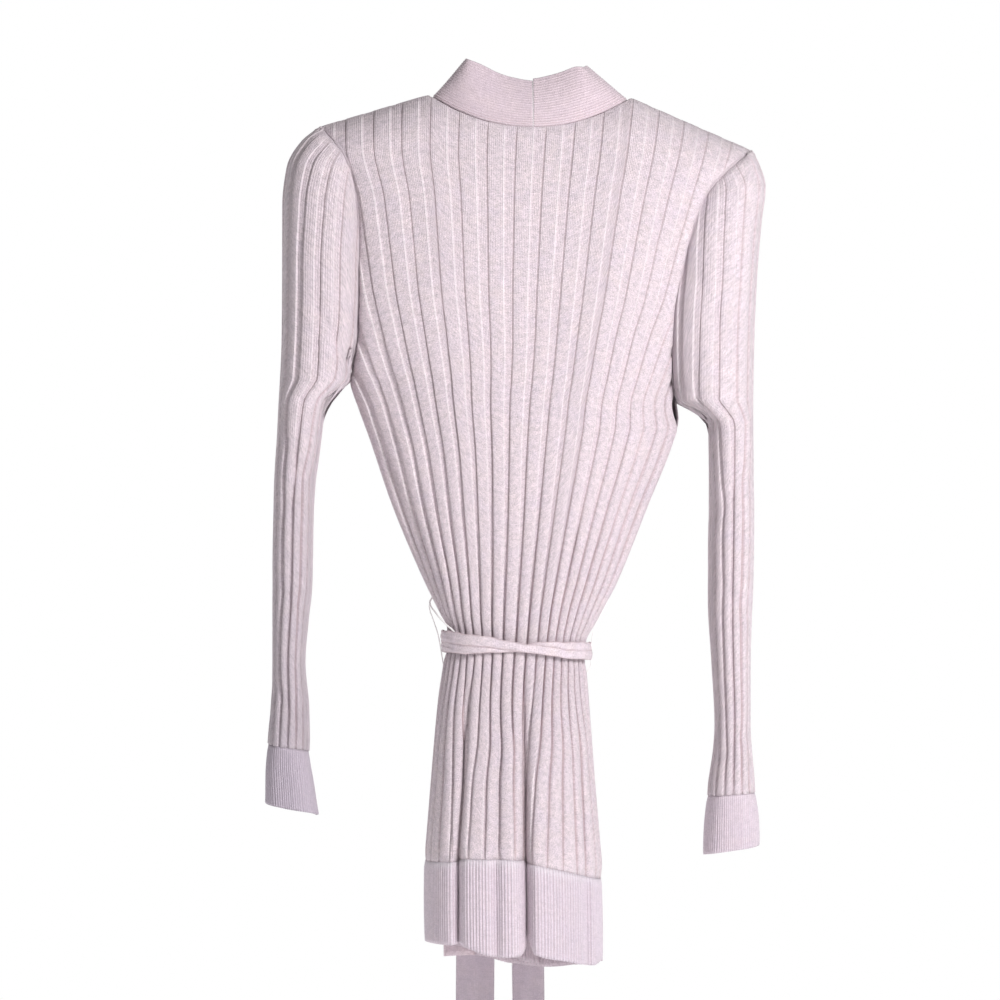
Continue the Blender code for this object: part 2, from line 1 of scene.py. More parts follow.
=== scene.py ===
"""Looks of a long-sleeved wrap cardigan in wide-rib knit, seen from its back.
Every table is in millimetres."""

import math

import bpy
import numpy as np
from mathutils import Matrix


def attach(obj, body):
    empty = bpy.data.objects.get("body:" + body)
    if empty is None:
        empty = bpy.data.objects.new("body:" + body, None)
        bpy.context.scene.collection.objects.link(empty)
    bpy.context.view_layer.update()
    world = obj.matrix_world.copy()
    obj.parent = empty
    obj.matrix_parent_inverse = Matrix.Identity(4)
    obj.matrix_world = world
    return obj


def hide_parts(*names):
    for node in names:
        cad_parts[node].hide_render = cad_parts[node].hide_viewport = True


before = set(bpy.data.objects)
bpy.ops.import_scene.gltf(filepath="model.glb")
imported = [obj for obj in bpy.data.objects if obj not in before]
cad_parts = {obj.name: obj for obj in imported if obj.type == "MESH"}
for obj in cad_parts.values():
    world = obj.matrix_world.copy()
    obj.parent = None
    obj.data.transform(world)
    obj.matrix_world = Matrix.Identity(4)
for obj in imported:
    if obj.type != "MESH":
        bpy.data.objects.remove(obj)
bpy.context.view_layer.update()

MM = 0.001
PANEL_WALL = 1.5
BAND_WALL = 2.0
TAIL_WALL = 2.2
HALF_SEAM = 0.2
ROUNDNESS = 2.3
SHOULDER_RADIUS = 38.0
WAIST_Z = -493.5
WAIST_TILT = 0.1
WAIST_MIDDLE_X = -12.6
NECK_DIP = -26.1
NECK_CENTRE_X = 1.8
RIGHT_END_T = -0.375
LEFT_END_T = 0.25
FINE_PITCH = 2.85
# Sizes of the knit in its UV maps, in metres
WIDE_RIB = 0.0254
SLEEVE_RIB = 0.0134
BELT_TURN = 0.39
BELT_GIRTH = 0.03
KNOT_TURN = 0.09
BAND_WIDTH = 0.05
STITCH_WIDTH = 0.0017
STITCH_HEIGHT = 0.0014

# Left edge of the body: height, x, and how far the armhole seam stands from the middle plane
LEFT_EDGE = [
    (-23.9, -189.0, 34), (-55, -164.7, 36), (-92, -155.7, 38), (-118, -153.9, 38), (-166, -153.9, 36),
    (-205, -154.8, 29), (-228, -157.5, 20), (-244, -161.0, 9), (-252, -162.9, 0), (-270, -158.4, 0),
    (-306, -145.8, 0), (-360, -126.9, 0), (-432, -96.3, 0), (-450, -88.0, 0), (-466, -80.0, 0),
    (-480, -73.0, 0), (-498, -72.6, 0), (-510, -76.5, 0), (-522, -78.6, 0), (-540, -81.4, 0),
    (-594, -86.4, 0), (-666, -92.7, 0), (-690, -95.2, 0), (-790, -94.5, 0),
]
RIGHT_EDGE = [
    (-45.9, 198.9, 34), (-51.3, 190.8, 34), (-63.9, 175.9, 36), (-75.6, 164.7, 37), (-91.8, 153.9, 38),
    (-128.7, 141.3, 38), (-152, 135.9, 37), (-183.6, 129.6, 35), (-211.5, 126.9, 30), (-240, 126.0, 20),
    (-258, 127.5, 9), (-271.8, 131.4, 0), (-288, 133.5, 0), (-306, 128.7, 0), (-360, 107.1, 0),
    (-432, 76.5, 0), (-450, 65.5, 0), (-466, 56.0, 0), (-480, 48.0, 0), (-498, 46.5, 0), (-510, 48.6, 0),
    (-522, 49.6, 0), (-540, 50.8, 0), (-594, 54.0, 0), (-666, 60.3, 0), (-690, 62.5, 0), (-790, 63.9, 0),
]
EDGE_X, SEAM_DEPTH = 1, 2
# Where the inner ribs run: height, x toward the left edge, x toward the right
RIB_LINES = [
    (5, -189, 199), (-100, -167, 158), (-200, -158, 139), (-290, -150, 131), (-360, -126.9, 107.1),
    (-432, -96.3, 76.5), (-480, -73.0, 48.0), (-498, -72.6, 46.5), (-522, -78.6, 49.6),
    (-540, -81.4, 50.8), (-610, -87.6, 55.5), (-690, -95.2, 62.5), (-790, -94.5, 63.9),
]
TO_LEFT, TO_RIGHT = 1, 2
# The back's rib lines: height, x of the middle line, then toward the left and toward the right
# the pitch next to the middle and how fast it draws in
BACK_LINES = [
    (5, 10.0, 26.6, 26.2, 0.09, 0.2), (-45, 7.2, 26.0, 25.6, 0.09, 0.25),
    (-90, 4.5, 24.4, 24.3, 0.18, 0.30), (-135, 2.7, 23.0, 22.9, 0.16, 0.36),
    (-180, 0.9, 21.5, 21.5, 0.13, 0.40), (-216, 0.0, 20.1, 19.9, 0.13, 0.46),
    (-252, -2.0, 18.7, 18.9, 0.18, 0.52), (-270, -3.6, 18.1, 18.4, 0.2, 0.54),
    (-324, -6.3, 15.7, 16.4, 0.24, 0.55), (-378, -8.1, 14.5, 13.9, 0.24, 0.5),
    (-432, -10.8, 13.1, 11.8, 0.2, 0.3), (-468, -12.6, 12.6, 10.8, 0.2, 0.3),
    (-510, -16.0, 10.6, 10.6, 0.2, 0.3), (-560, -19.5, 11.0, 10.2, 0.2, 0.3),
    (-640, -22.0, 11.5, 10.2, 0.2, 0.3), (-790, -22.0, 11.5, 10.2, 0.2, 0.3),
]
MIDDLE_X, LEFT_PITCH, RIGHT_PITCH, LEFT_DRAW, RIGHT_DRAW = 1, 2, 3, 4, 5
# Cross-sections: height, depth of the back, depth of the front, sine share of the rib spacing,
# inset of the under layer, depth of the skirt folds
SECTIONS = [
    (5, 28, 30, 0.10, 0.0, 0), (-30, 38, 42, 0.10, 0.0, 0), (-80, 50, 56, 0.15, 0.5, 0),
    (-150, 57, 66, 0.20, 4.6, 0), (-250, 60, 70, 0.30, 4.8, 0), (-340, 58, 66, 0.40, 5.0, 0),
    (-400, 54, 58, 0.40, 5.4, 0), (-450, 50, 52, 0.40, 6.4, 0), (-480, 46, 46, 0.40, 6.6, 0),
    (-507, 46, 46, 0.40, 6.6, 0), (-540, 53, 53, 0.40, 6.6, 5), (-610, 64, 63, 0.40, 6.6, 15),
    (-690, 72, 72, 0.40, 6.6, 23), (-790, 76, 76, 0.40, 6.6, 27),
]
DEPTH_BACK, DEPTH_FRONT, SINE_SHARE, UNDER_INSET, FOLD_DEPTH = 1, 2, 3, 4, 5
# The wide ribs: height, raised share of the pitch, step of a flat rib, depth of a gathered groove
RIB_SHAPE = [
    (5, 0.57, 1.1, 0.0), (-60, 0.60, 1.1, 0.0), (-180, 0.62, 1.2, 0.1), (-260, 0.67, 1.3, 0.3),
    (-340, 0.70, 1.3, 0.8), (-420, 0.78, 1.1, 1.5), (-470, 0.84, 0.8, 2.1), (-512, 0.84, 0.8, 2.1),
    (-560, 0.82, 0.9, 1.8), (-640, 0.80, 1.0, 1.3), (-690, 0.80, 0.9, 0.9),
]
RAISED_SHARE, FLAT_STEP, GROOVE = 1, 2, 3
# One wide rib across: zone, place in the zone, shift in mm, share of the step, share of the groove,
# how far it's in the thin crease, which gets painted shade, and on the thin raised line at the rib's right
# edge, which gets a painted highlight
RIB_PROFILE = [
    ("left gap", 0.0, 0.0, 0.00, -1.3, 0.05, 0.0), ("left gap", 0.5, 0.0, 0.00, -1.3, 0.05, 0.0),
    ("rib", 0.0, -0.9, -0.05, -1.2, 0.15, 0.0), ("rib", 0.0, -0.25, -0.45, -1.0, 1.0, 0.0),
    ("rib", 0.0, 0.35, 0.90, -0.3, 0.25, 0.0), ("rib", 0.0, 1.4, 1.05, 0.15, 0.0, 0.0),
    ("rib", 0.25, 0.0, 1.12, 0.55, 0.0, 0.0), ("rib", 0.5, 0.0, 1.15, 0.7, 0.0, 0.0),
    ("rib", 0.75, 0.0, 1.12, 0.55, 0.0, 0.0), ("rib", 1.0, -1.1, 1.10, 0.15, 0.0, 0.0),
    ("rib", 1.0, -0.4, 1.16, -0.2, 0.0, 1.0), ("rib", 1.0, 0.15, 0.45, -0.9, 0.1, 0.35),
    ("rib", 1.0, 0.9, 0.00, -1.2, 0.15, 0.0), ("right gap", 0.5, 0.0, 0.00, -1.3, 0.05, 0.0),
]
STEP_SHARE, GROOVE_SHARE, IN_CREASE, ON_CREST = 3, 4, 5, 6
# Which rows of the profile a front and the other wide-rib pieces use
SLIM_KINDS = [0, 2, 3, 4, 6, 8, 10, 11, 12, 13]
ALL_KINDS = list(range(14))
# Skirt folds: place across, width toward the left and toward the right edge, share of the fold depth
BACK_FOLDS = [
    (-0.52, 0.066, 0.048, 0.95), (0.125, 0.080, 0.062, 1.1), (0.74, 0.05, 0.07, 0.22),
    (-0.16, 0.05, 0.06, 0.2),
]
FRONT_FOLDS = [(-0.10, 0.10, 0.10, 0.45), (0.72, 0.08, 0.08, 0.45)]
SHOULDER_RIDGE = [(-189.0, -23.9), (-92.7, 4.5), (90.0, 1.8), (198.9, -45.9)]
LEFT_NECK = (-92.7, 4.5)
RIGHT_NECK = (90.0, 1.8)
# The wrap edges below the neck points: height and place across the front
LEFT_WRAP = [
    (-7, -0.465), (-38, -0.437), (-95, -0.405), (-130, -0.39), (-200, -0.335), (-235, -0.30),
    (-270, -0.26), (-330, -0.17), (-380, -0.05), (-420, 0.11), (-440, LEFT_END_T), (-790, LEFT_END_T),
]
RIGHT_WRAP = [
    (-8, 0.428), (-38, 0.398), (-95, 0.362), (-130, 0.345), (-200, 0.27), (-235, 0.222), (-270, 0.17),
    (-330, 0.05), (-380, -0.10), (-420, -0.27), (-440, RIGHT_END_T), (-790, RIGHT_END_T),
]
# Sleeves and cuffs, at each height: x of the outer edge, then x of the inner edge below the armpit
LEFT_OUTER = [
    (-23.9, -189.0), (-39, -206.5), (-61.5, -218.5), (-95, -222.3), (-150, -222.3), (-215, -222.7),
    (-280, -225.5), (-355, -229.2), (-430, -230.4), (-505, -230.6), (-548, -232.4), (-578, -235.8),
    (-606, -238.2), (-643, -238.6),
]
LEFT_INNER = [
    (-252.2, -162.9), (-259, -171.0), (-266, -180.0), (-271, -184.5), (-283, -187.5), (-303, -190.0),
    (-328, -193.0), (-370, -197.2), (-436, -199.0), (-506, -205.2), (-548, -201.5), (-586, -200.5),
    (-615, -196.0), (-643, -191.7),
]
RIGHT_OUTER = [
    (-45.9, 198.9), (-58.5, 204.5), (-79, 209.6), (-110, 206.0), (-165, 201.5), (-225, 199.0),
    (-290, 198.0), (-370, 198.6), (-440, 197.6), (-505, 195.4), (-560, 195.6), (-622, 200.6),
    (-647, 203.6), (-679, 205.2),
]
RIGHT_INNER = [
    (-271.8, 131.4), (-278, 143.0), (-285, 153.5), (-290, 160.0), (-301, 161.3), (-347, 161.8),
    (-388, 161.2), (-448, 161.3), (-508, 164.8), (-562, 167.3), (-626, 159.8), (-652, 157.2),
    (-679, 155.8),
]
# Half depth of a sleeve, from the armhole's top down: distance below it, half depth
SLEEVE_DEPTH = [
    (-640, 36), (-592, 35), (-560, 35), (-525, 37), (-480, 40), (-400, 43), (-330, 47), (-260, 51),
    (-190, 53), (-126, 53), (-76, 50), (-36, 45), (-14, 36), (0, 20),
]
# How many ribs a piece has across, and how many rows its grid has
BACK_RIBS, BACK_ROWS = 20, 160
LEFT_FRONT_RIBS, RIGHT_FRONT_RIBS, FRONT_ROWS = 11, 12, 110
SLEEVE_RIBS, SLEEVE_ROWS = 16, 140
CUFF_ROWS = 26
BAND_RIBS = 20
# How far a level cut of a sleeve is squared off, and at how many angles it's measured
SQUARED = 0.8
CUT_SAMPLES = 48
# Heights of a cuff's join and of its end, each at the outer and at the inner edge
LEFT_CUFF = ((-578, -586), (-631, -643))
RIGHT_CUFF = ((-622, -626), (-669, -679))
# Fashioned bumps beside the armhole seam: their spacing and the radius of the seam's tube
BUMP_STEP = 3.6
SEAM_RADIUS = 1.3
LOOP_RADIUS = 0.75
THREAD_RADIUS = 0.5
# Neck part of the bands, centre back to neck point: rise of the free edge in x, y and z
LEFT_COLLAR_RISE = [(0, 24, 42), (-2, 22, 46), (2, 17, 50), (13, 10, 45), (34, 8, 32)]
RIGHT_COLLAR_RISE = [(0, 24, 44), (-3, 22, 47), (-9, 17, 48), (-23, 10, 40), (-40, 8, 28)]
# Front part of the bands: height, reach toward the opening, rise, how far the free edge follows the chest
BAND_REACH = [
    (5, 36, 33, 0.0), (-14, 38, 32, 0.0), (-45, 44, 25, 0.1), (-90, 47, 18, 0.7), (-130, 48, 14, 1),
    (-200, 48, 13, 1), (-270, 48, 14, 1), (-330, 46, 16, 1), (-380, 42, 16, 1), (-420, 32, 10, 1),
    (-440, 26, 5, 1), (-462, 23, 1, 1), (-480, 22, 0, 1), (-507, 22, 0, 1), (-535, 23, 0, 1),
    (-610, 25, 0, 1), (-690, 27, 0, 1), (-790, 28, 0, 1),
]
# Lower joins and hems of the panels: place across, height of the join, height of the hem
JOIN, HEM = 1, 2
BACK_HEM = [
    (-1, -684, -756), (-0.62, -683, -757), (-0.52, -682, -752), (-0.44, -680, -759), (-0.1, -680, -767),
    (0.03, -681, -766), (0.10, -682, -751), (0.17, -684, -749), (0.21, -685, -765), (0.5, -691, -771),
    (0.85, -698, -776), (1, -700, -772),
]
LEFT_FRONT_HEM = [(-1, -684, -757), (-0.6, -690, -765), (LEFT_END_T, -698, -782)]
RIGHT_FRONT_HEM = [(RIGHT_END_T, -700, -774), (0.3, -703, -785), (1, -700, -775)]
# Soft creases pressed into the cloth: start x, start z, end x, end z, width, depth (a ridge is below zero)
BACK_CREASES = [
    (112, -282, 66, -452, 8, 3.5), (96, -262, 55, -440, 6, -1.6), (-138, -306, -74, -474, 4.5, 3.0),
    (-128, -268, -70, -446, 6, -1.5), (120, -238, 96, -330, 9, 2.4), (-140, -214, -118, -300, 8, 2.0),
    (40, -380, 22, -478, 5, 2.0), (-60, -372, -44, -480, 5, 1.8), (-112, -60, -96, -170, 10, 1.4),
    (128, -96, 104, -200, 9, 1.6), (-66, -560, -60, -640, 5, 1.6), (30, -522, 36, -610, 5, 2.0),
    (-30, -520, -34, -590, 5, 1.6),
]
FRONT_CREASES = [
    (-120, -262, -70, -430, 8, 3.2), (104, -284, 60, -446, 8, 3.4), (118, -240, 84, -330, 9, 2.2),
    (-138, -300, -78, -470, 5, 2.8), (-40, -330, -16, -462, 6, 2.2), (36, -320, 8, -466, 7, 2.4),
    (-62, -524, -70, -630, 6, 2.4), (34, -520, 44, -620, 6, 2.2), (0, -530, 4, -600, 6, 1.8),
]
SLEEVE_CREASES = [
    (-196, -178, -160, -246, 7, 3.4), (-188, -206, -166, -254, 5, -1.8), (-222, -300, -196, -352, 9, 2.6),
    (-200, -330, -224, -380, 8, 1.8), (-226, -430, -202, -470, 8, 1.5), (-232, -520, -206, -560, 7, 1.8),
    (138, -262, 166, -298, 6, 3.2), (146, -240, 178, -272, 6, -1.6), (140, -150, 178, -226, 9, 2.0),
    (194, -330, 164, -384, 9, 2.6), (168, -420, 194, -470, 8, 1.8), (192, -560, 168, -600, 7, 2.0),
]
# The belt's two twisted strands: turn round the waist, height of the middle, half height, stand-off
UPPER_STRAND = [
    (0.0, 1.4, 4.6, 1.2), (0.12, 1.2, 5.4, 1.0), (0.25, 2.0, 6.2, 1.2), (0.38, 3.0, 5.6, 1.0),
    (0.5, 3.8, 5.6, 1.4), (0.62, 4.4, 5.4, 1.6), (0.70, 4.0, 4.7, 2.0), (0.75, 2.8, 4.0, 2.4),
    (0.80, 1.4, 4.0, 2.2), (0.88, 0.6, 4.2, 1.6), (1.0, 1.4, 4.6, 1.2),
]
LOWER_STRAND = [
    (0.0, 7.6, 4.6, 0.6), (0.12, 3.0, 5.0, 0.8), (0.25, -3.0, 4.6, 0.6), (0.38, -3.4, 5.0, 0.8),
    (0.5, -4.4, 5.4, 0.8), (0.62, -4.2, 4.8, 0.6), (0.69, -2.0, 4.0, 0.2), (0.75, 1.4, 3.6, 0.0),
    (0.81, 5.4, 4.0, 0.2), (0.88, 7.4, 4.4, 0.6), (1.0, 7.6, 4.6, 0.6),
]
KNOT_CENTRE = (-20.0, 64.8, -495.0)
# Belt tails: height, middle x, y, width
LEFT_TAIL = [
    (-503, -26.6, 65, 15), (-535, -35, 62, 22), (-600, -42, 71, 31), (-690, -48, 80, 35),
    (-775, -50.5, 83, 35), (-856, -51, 82, 35),
]
RIGHT_TAIL = [
    (-503, -13.4, 65, 15), (-535, -9, 62, 22), (-600, -6, 71, 27), (-690, -4, 80, 29), (-775, -3, 83, 29),
    (-842, -2.5, 82, 29),
]
# Thread loops: x, y, z
LEFT_LOOP = [
    (-89.0, -1, -448), (-91.0, -4, -452), (-86.0, -12, -461), (-78.0, -22, -470), (-69.0, -31, -478),
    (-64.0, -36, -486),
]
LEFT_THREAD = [
    (-90.0, 0, -449), (-91.5, 0.6, -456), (-88.0, 1.2, -468), (-84.6, 1.0, -478), (-82.4, 0.4, -487),
    (-80.6, 0, -498), (-78.9, 0, -508),
]
RIGHT_LOOP = [
    (66.5, -2, -450), (63.0, -3.0, -455), (57.0, -4.5, -464), (51.5, -6.5, -473), (46.5, -10.0, -482),
    (44.0, -12, -489),
]
RIGHT_THREAD = [
    (69.0, 0, -446), (68.0, -0.5, -453), (62.5, -1.5, -464), (57.0, -1.5, -476), (54.6, -0.6, -489),
    (54.4, 0, -500), (53.8, 0, -509), (49.0, 0, -517),
]


# Reading the tables

def curve(places, values, at):
    """Values along a smooth line through the given ones, which never swings past them."""
    places, values, at = np.asarray(places, float), np.asarray(values, float), np.asarray(at, float)
    more = (None,) * (values.ndim - 1)
    gap = np.diff(places)
    rise = np.diff(values, axis=0) / gap[(slice(None),) + more]
    same = rise[:-1] * rise[1:] > 0
    both = np.where(same, rise[:-1] + rise[1:], 1)
    slope = np.zeros_like(values)
    slope[1:-1] = np.where(same, 2 * rise[:-1] * rise[1:] / both, 0)
    slope[0], slope[-1] = rise[0], rise[-1]
    i = np.clip(np.searchsorted(places, at, side="right") - 1, 0, len(places) - 2)
    u = np.clip((at - places[i]) / gap[i], 0, 1)[(...,) + more]
    g = gap[i][(...,) + more]
    back = 1 - u
    return (values[i] * (1 + 2 * u) * back**2 + values[i + 1] * (1 + 2 * back) * u**2
            + g * (slope[i] * u * back**2 - slope[i + 1] * back * u**2))


def read(rows, at, column=1):
    """One column of a table at values of its first column."""
    ordered = np.array(sorted(rows), float)
    return curve(ordered[:, 0], ordered[:, column], at)


def halving(low, high, below, steps=26):
    """The two ends of the last span round the place where below stops being true."""
    for _ in range(steps):
        middle = (low + high) / 2
        short = below(middle)
        low, high = np.where(short, middle, low), np.where(short, high, middle)
    return low, high


def unit(vectors):
    return vectors / np.maximum(np.linalg.norm(vectors, axis=-1, keepdims=True), 1e-9)


# The form of the worn body

def across(t, z):
    """(x, share of the half width) of a place t across the body: -1 is the left edge and 1 the right."""
    left, right = read(RIB_LINES, z, TO_LEFT), read(RIB_LINES, z, TO_RIGHT)
    sine = read(SECTIONS, z, SINE_SHARE)
    share = (1 - sine) * t + sine * np.sin(np.pi * t / 2)
    edge = np.where(t < 0, read(LEFT_EDGE, z, EDGE_X) - left, read(RIGHT_EDGE, z, EDGE_X) - right)
    return (left + right) / 2 + (right - left) / 2 * share + edge * np.abs(t) ** 4, share


def creases(x, z, rows):
    """Depth of the listed creases at x and z. Each one swells in and dies out along its length."""
    depth = np.zeros_like(x)
    for x0, z0, x1, z1, width, deep in rows:
        long_x, long_z = x1 - x0, z1 - z0
        place = np.clip(((x - x0) * long_x + (z - z0) * long_z) / (long_x**2 + long_z**2), 0, 1)
        bend = 0.12 * math.hypot(long_x, long_z) * np.sin(np.pi * place)
        away = np.hypot(x - x0 - long_x * place - bend * 0.2, z - z0 - long_z * place)
        depth += deep * np.sin(np.pi * np.clip(place, 0.02, 0.98)) ** 0.7 * np.exp(-((away / width) ** 2))
    return depth


def ridge_line(x):
    return np.interp(x, *zip(*SHOULDER_RIDGE))


def body(t, z, face):
    """Points of the smooth body, with the skirt's long folds and the creases. face is -1 on the back."""
    t = np.clip(t, -1.0, 1.0)
    x, share = across(t, z)
    seam_depth = np.where(share < 0, read(LEFT_EDGE, z, SEAM_DEPTH), read(RIGHT_EDGE, z, SEAM_DEPTH))
    depth = read(SECTIONS, z, DEPTH_BACK if face < 0 else DEPTH_FRONT)
    bulge = np.maximum(0.0, 1 - np.abs(share) ** ROUNDNESS) ** (1 / ROUNDNESS)
    below_ridge = np.maximum(0.0, ridge_line(x) - z)
    turn = np.sqrt(1 - (1 - np.minimum(below_ridge / SHOULDER_RADIUS, 1)) ** 2)
    y = turn * (seam_depth + (depth - seam_depth) * bulge) + HALF_SEAM
    low_z = z - WAIST_TILT * (x - WAIST_MIDDLE_X) * np.exp(-(((z - WAIST_Z) / 55) ** 2))
    folded = read(SECTIONS, z, FOLD_DEPTH)
    for middle, left_width, right_width, part in BACK_FOLDS if face < 0 else FRONT_FOLDS:
        off = (t - middle) / np.where(t < middle, left_width, right_width)
        dip = folded * part * np.exp(-off * off * (1 + off * off) / 2)
        y = y - dip
        x = x - 0.3 * dip * np.clip(off, -1.6, 1.6)
    y = y - creases(x, z, BACK_CREASES if face < 0 else FRONT_CREASES) * np.minimum(1, bulge * 2)
    return np.stack([x, face * np.maximum(y, HALF_SEAM), low_z], axis=-1)


def recess(t, z):
    """How far a place of the back lies inside one of the skirt's two deep folds."""
    shade = 0 * z
    for middle, left_width, right_width, _ in BACK_FOLDS[:2]:
        off = (t - middle) / np.where(t < middle, left_width, right_width) / 0.9
        shade = shade + np.exp(-(off**4))
    return shade * np.clip((-520 - z) / 130, 0, 1)


def place_of(x, z):
    """The place across that has this x."""
    low, high = np.full(np.shape(x), -1.0), np.full(np.shape(x), 1.0)
    return halving(low, high, lambda t: across(t, z)[0] < x)[0]


LEFT_NECK_T = float(place_of(*LEFT_NECK))
RIGHT_NECK_T = float(place_of(*RIGHT_NECK))


def neck_line(x):
    """Height of the seam between the back and the collar."""
    share = np.where(x < NECK_CENTRE_X, (x - NECK_CENTRE_X) / (LEFT_NECK[0] - NECK_CENTRE_X),
                     (x - NECK_CENTRE_X) / (RIGHT_NECK[0] - NECK_CENTRE_X))
    end = np.where(x < NECK_CENTRE_X, LEFT_NECK[1], RIGHT_NECK[1])
    return NECK_DIP + (end - NECK_DIP) * np.abs(share) ** 2.2


def meets_line(t, line):
    """The height at which a column reaches a line drawn over x."""
    low, high = np.full(np.shape(t), -140.0), np.full(np.shape(t), 30.0)
    return halving(low, high, lambda z: z < line(across(t, z)[0]))[0]


def top_of(t, face, wrap):
    """Height at which a column of a panel ends: at the shoulder, the neck seam or the wrap edge."""
    shoulder = (t <= LEFT_NECK_T) | (t >= RIGHT_NECK_T)
    if face < 0:
        return np.where(shoulder, meets_line(t, ridge_line), meets_line(t, neck_line))
    neck = (LEFT_NECK[1], LEFT_NECK_T) if wrap is LEFT_WRAP else (RIGHT_NECK[1], RIGHT_NECK_T)
    edge = sorted((place, height) for height, place in [neck] + wrap[:-1])
    return np.where(shoulder, meets_line(t, ridge_line), np.interp(t, *zip(*edge)))


# Making the cloth pieces

def run_along(line):
    """Distance of each point of a line from its first one."""
    return np.concatenate([[0], np.cumsum(np.linalg.norm(np.diff(line, axis=0), axis=1))])


def rows_down(rows, ease):
    """Shares of the way down a piece, closer together near its top."""
    down = np.linspace(0, 1, rows)[:, None]
    return down**2 * (1 + ease) / (down + ease)


def hump(at, middle, width, tall):
    """A soft hump, or a hollow where tall is below 0."""
    return tall * np.exp(-(((at - middle) / width) ** 2))


def directions(points, facing):
    """Outward directions of a grid of points. facing is a rough outward direction at its middle."""
    normal = unit(np.cross(np.gradient(points, axis=1), np.gradient(points, axis=0)))
    rows, columns = points.shape[:2]
    middle = normal[rows // 2, columns // 2]
    return normal if float(np.dot(middle, facing)) > 0 else -normal


def lengths(points, axis):
    """Distance along a grid of points, in metres, for its UV map."""
    steps = np.linalg.norm(np.diff(points, axis=axis), axis=-1)
    start = np.zeros_like(np.take(steps, [0], axis=axis))
    return np.cumsum(np.concatenate([start, steps], axis=axis), axis=axis) * MM


def cloth(name, points, u, v, wall, knit, facing, marks, ring=False, replaces="same",
          merge=False):
    """A knitted piece: a plain grid whose vertices are placed, then given its wall. marks are attributes.
    It stands for the node that it's named after, unless replaces names another or is None."""
    rows, columns = points.shape[:2]
    bpy.ops.mesh.primitive_grid_add(x_subdivisions=columns - 1, y_subdivisions=rows - 1, size=1)
    piece = bpy.context.object
    piece.name = piece.data.name = name
    mesh = piece.data
    mesh.vertices.foreach_set("co", (points * MM).reshape(-1))
    corners = np.empty(len(mesh.loops), np.int32)
    mesh.loops.foreach_get("vertex_index", corners)
    flat = np.stack(np.broadcast_arrays(u, v), axis=-1).reshape(-1, 2)
    mesh.uv_layers.active.data.foreach_set("uv", flat[corners].reshape(-1))
    for mark, values in marks.items():
        layer = mesh.attributes.new(mark, "FLOAT", "POINT")
        spread = np.broadcast_to(values, (rows, columns)).astype(np.float32)
        layer.data.foreach_set("value", spread.reshape(-1))
    mesh.update()
    middle = mesh.polygons[(rows // 2 - 1) * (columns - 1) + columns // 2].center.copy()
    bpy.ops.object.mode_set(mode="EDIT")
    bpy.ops.mesh.select_all(action="SELECT")
    if ring or merge:
        bpy.ops.mesh.remove_doubles(threshold=0.00002)
    bpy.ops.mesh.normals_make_consistent(inside=False)
    bpy.ops.object.mode_set(mode="OBJECT")
    centres = np.empty(len(mesh.polygons) * 3, np.float32)
    mesh.polygons.foreach_get("center", centres)
    nearest = int(np.argmin(np.linalg.norm(centres.reshape(-1, 3) - np.array(middle), axis=1)))
    if float(np.dot(mesh.polygons[nearest].normal, facing)) < 0:
        bpy.ops.object.mode_set(mode="EDIT")
        bpy.ops.mesh.select_all(action="SELECT")
        bpy.ops.mesh.flip_normals()
        bpy.ops.object.mode_set(mode="OBJECT")
    if wall:
        thicken = piece.modifiers.new("cloth_wall", "SOLIDIFY")
        thicken.thickness = wall * MM
        thicken.offset = -1
        thicken.use_even_offset = False
        bpy.ops.object.modifier_apply(modifier="cloth_wall")
    bpy.ops.object.shade_smooth()
    mesh.materials.append(knit)
    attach(piece, "root")
    if replaces:
        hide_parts(name.removeprefix("knit_") if replaces == "same" else replaces)
    return piece


def rib_places(raised, pitch_mm, kind, mirrored):
    """Place of each column in its rib, as a share of the pitch. raised is the rib's raised share."""
    left, right = 0.5 - raised / 2, 0.5 + raised / 2
    shift = np.minimum(1.0, pitch_mm / 20) / pitch_mm
    starts = {"left gap": (0 * left, left), "rib": (left, right - left), "right gap": (right, 1 - right)}
    table = np.stack([starts[zone][0] + starts[zone][1] * place + mm * shift
                      for zone, place, mm, *_ in RIB_PROFILE])
    order = (-kind) % len(RIB_PROFILE) if mirrored else kind
    chosen = np.take_along_axis(table, np.broadcast_to(order, raised.shape)[None], axis=0)[0]
    return np.where(kind == 0, 0, 1 - chosen if mirrored else chosen)


def rib_columns(ribs, kinds, mirrored=False):
    """(rib number, profile row) of every column, with one to close the last rib."""
    if mirrored:
        kinds = [0] + [len(RIB_PROFILE) - kind for kind in reversed(kinds[1:])]
    number = np.repeat(np.arange(ribs), len(kinds))
    return np.append(number, ribs), np.append(np.tile(kinds, ribs), 0)


def place_in_rib(kind):
    return kind / len(RIB_PROFILE)


def profile(column, kind, mirrored):
    """One value of the rib's profile for each column of the cloth."""
    values = np.array([row[column] for row in RIB_PROFILE], float)
    return values[(-kind) % len(values) if mirrored else kind]


ARC_STEPS = 400
ARC_LEVELS = np.linspace(-500, -790, 30)
ARC_PLACES = np.linspace(-1, 1, ARC_STEPS + 1)


def arc_table():
    """For levels down the skirt's back: the places across at even steps round its folds."""
    rows = []
    for level in ARC_LEVELS:
        run = run_along(body(ARC_PLACES, np.full(ARC_STEPS + 1, level), -1))
        rows.append(np.interp(np.linspace(0, 1, ARC_STEPS + 1), run / run[-1], ARC_PLACES))
    return np.array(rows)


ARC_TABLE = arc_table()


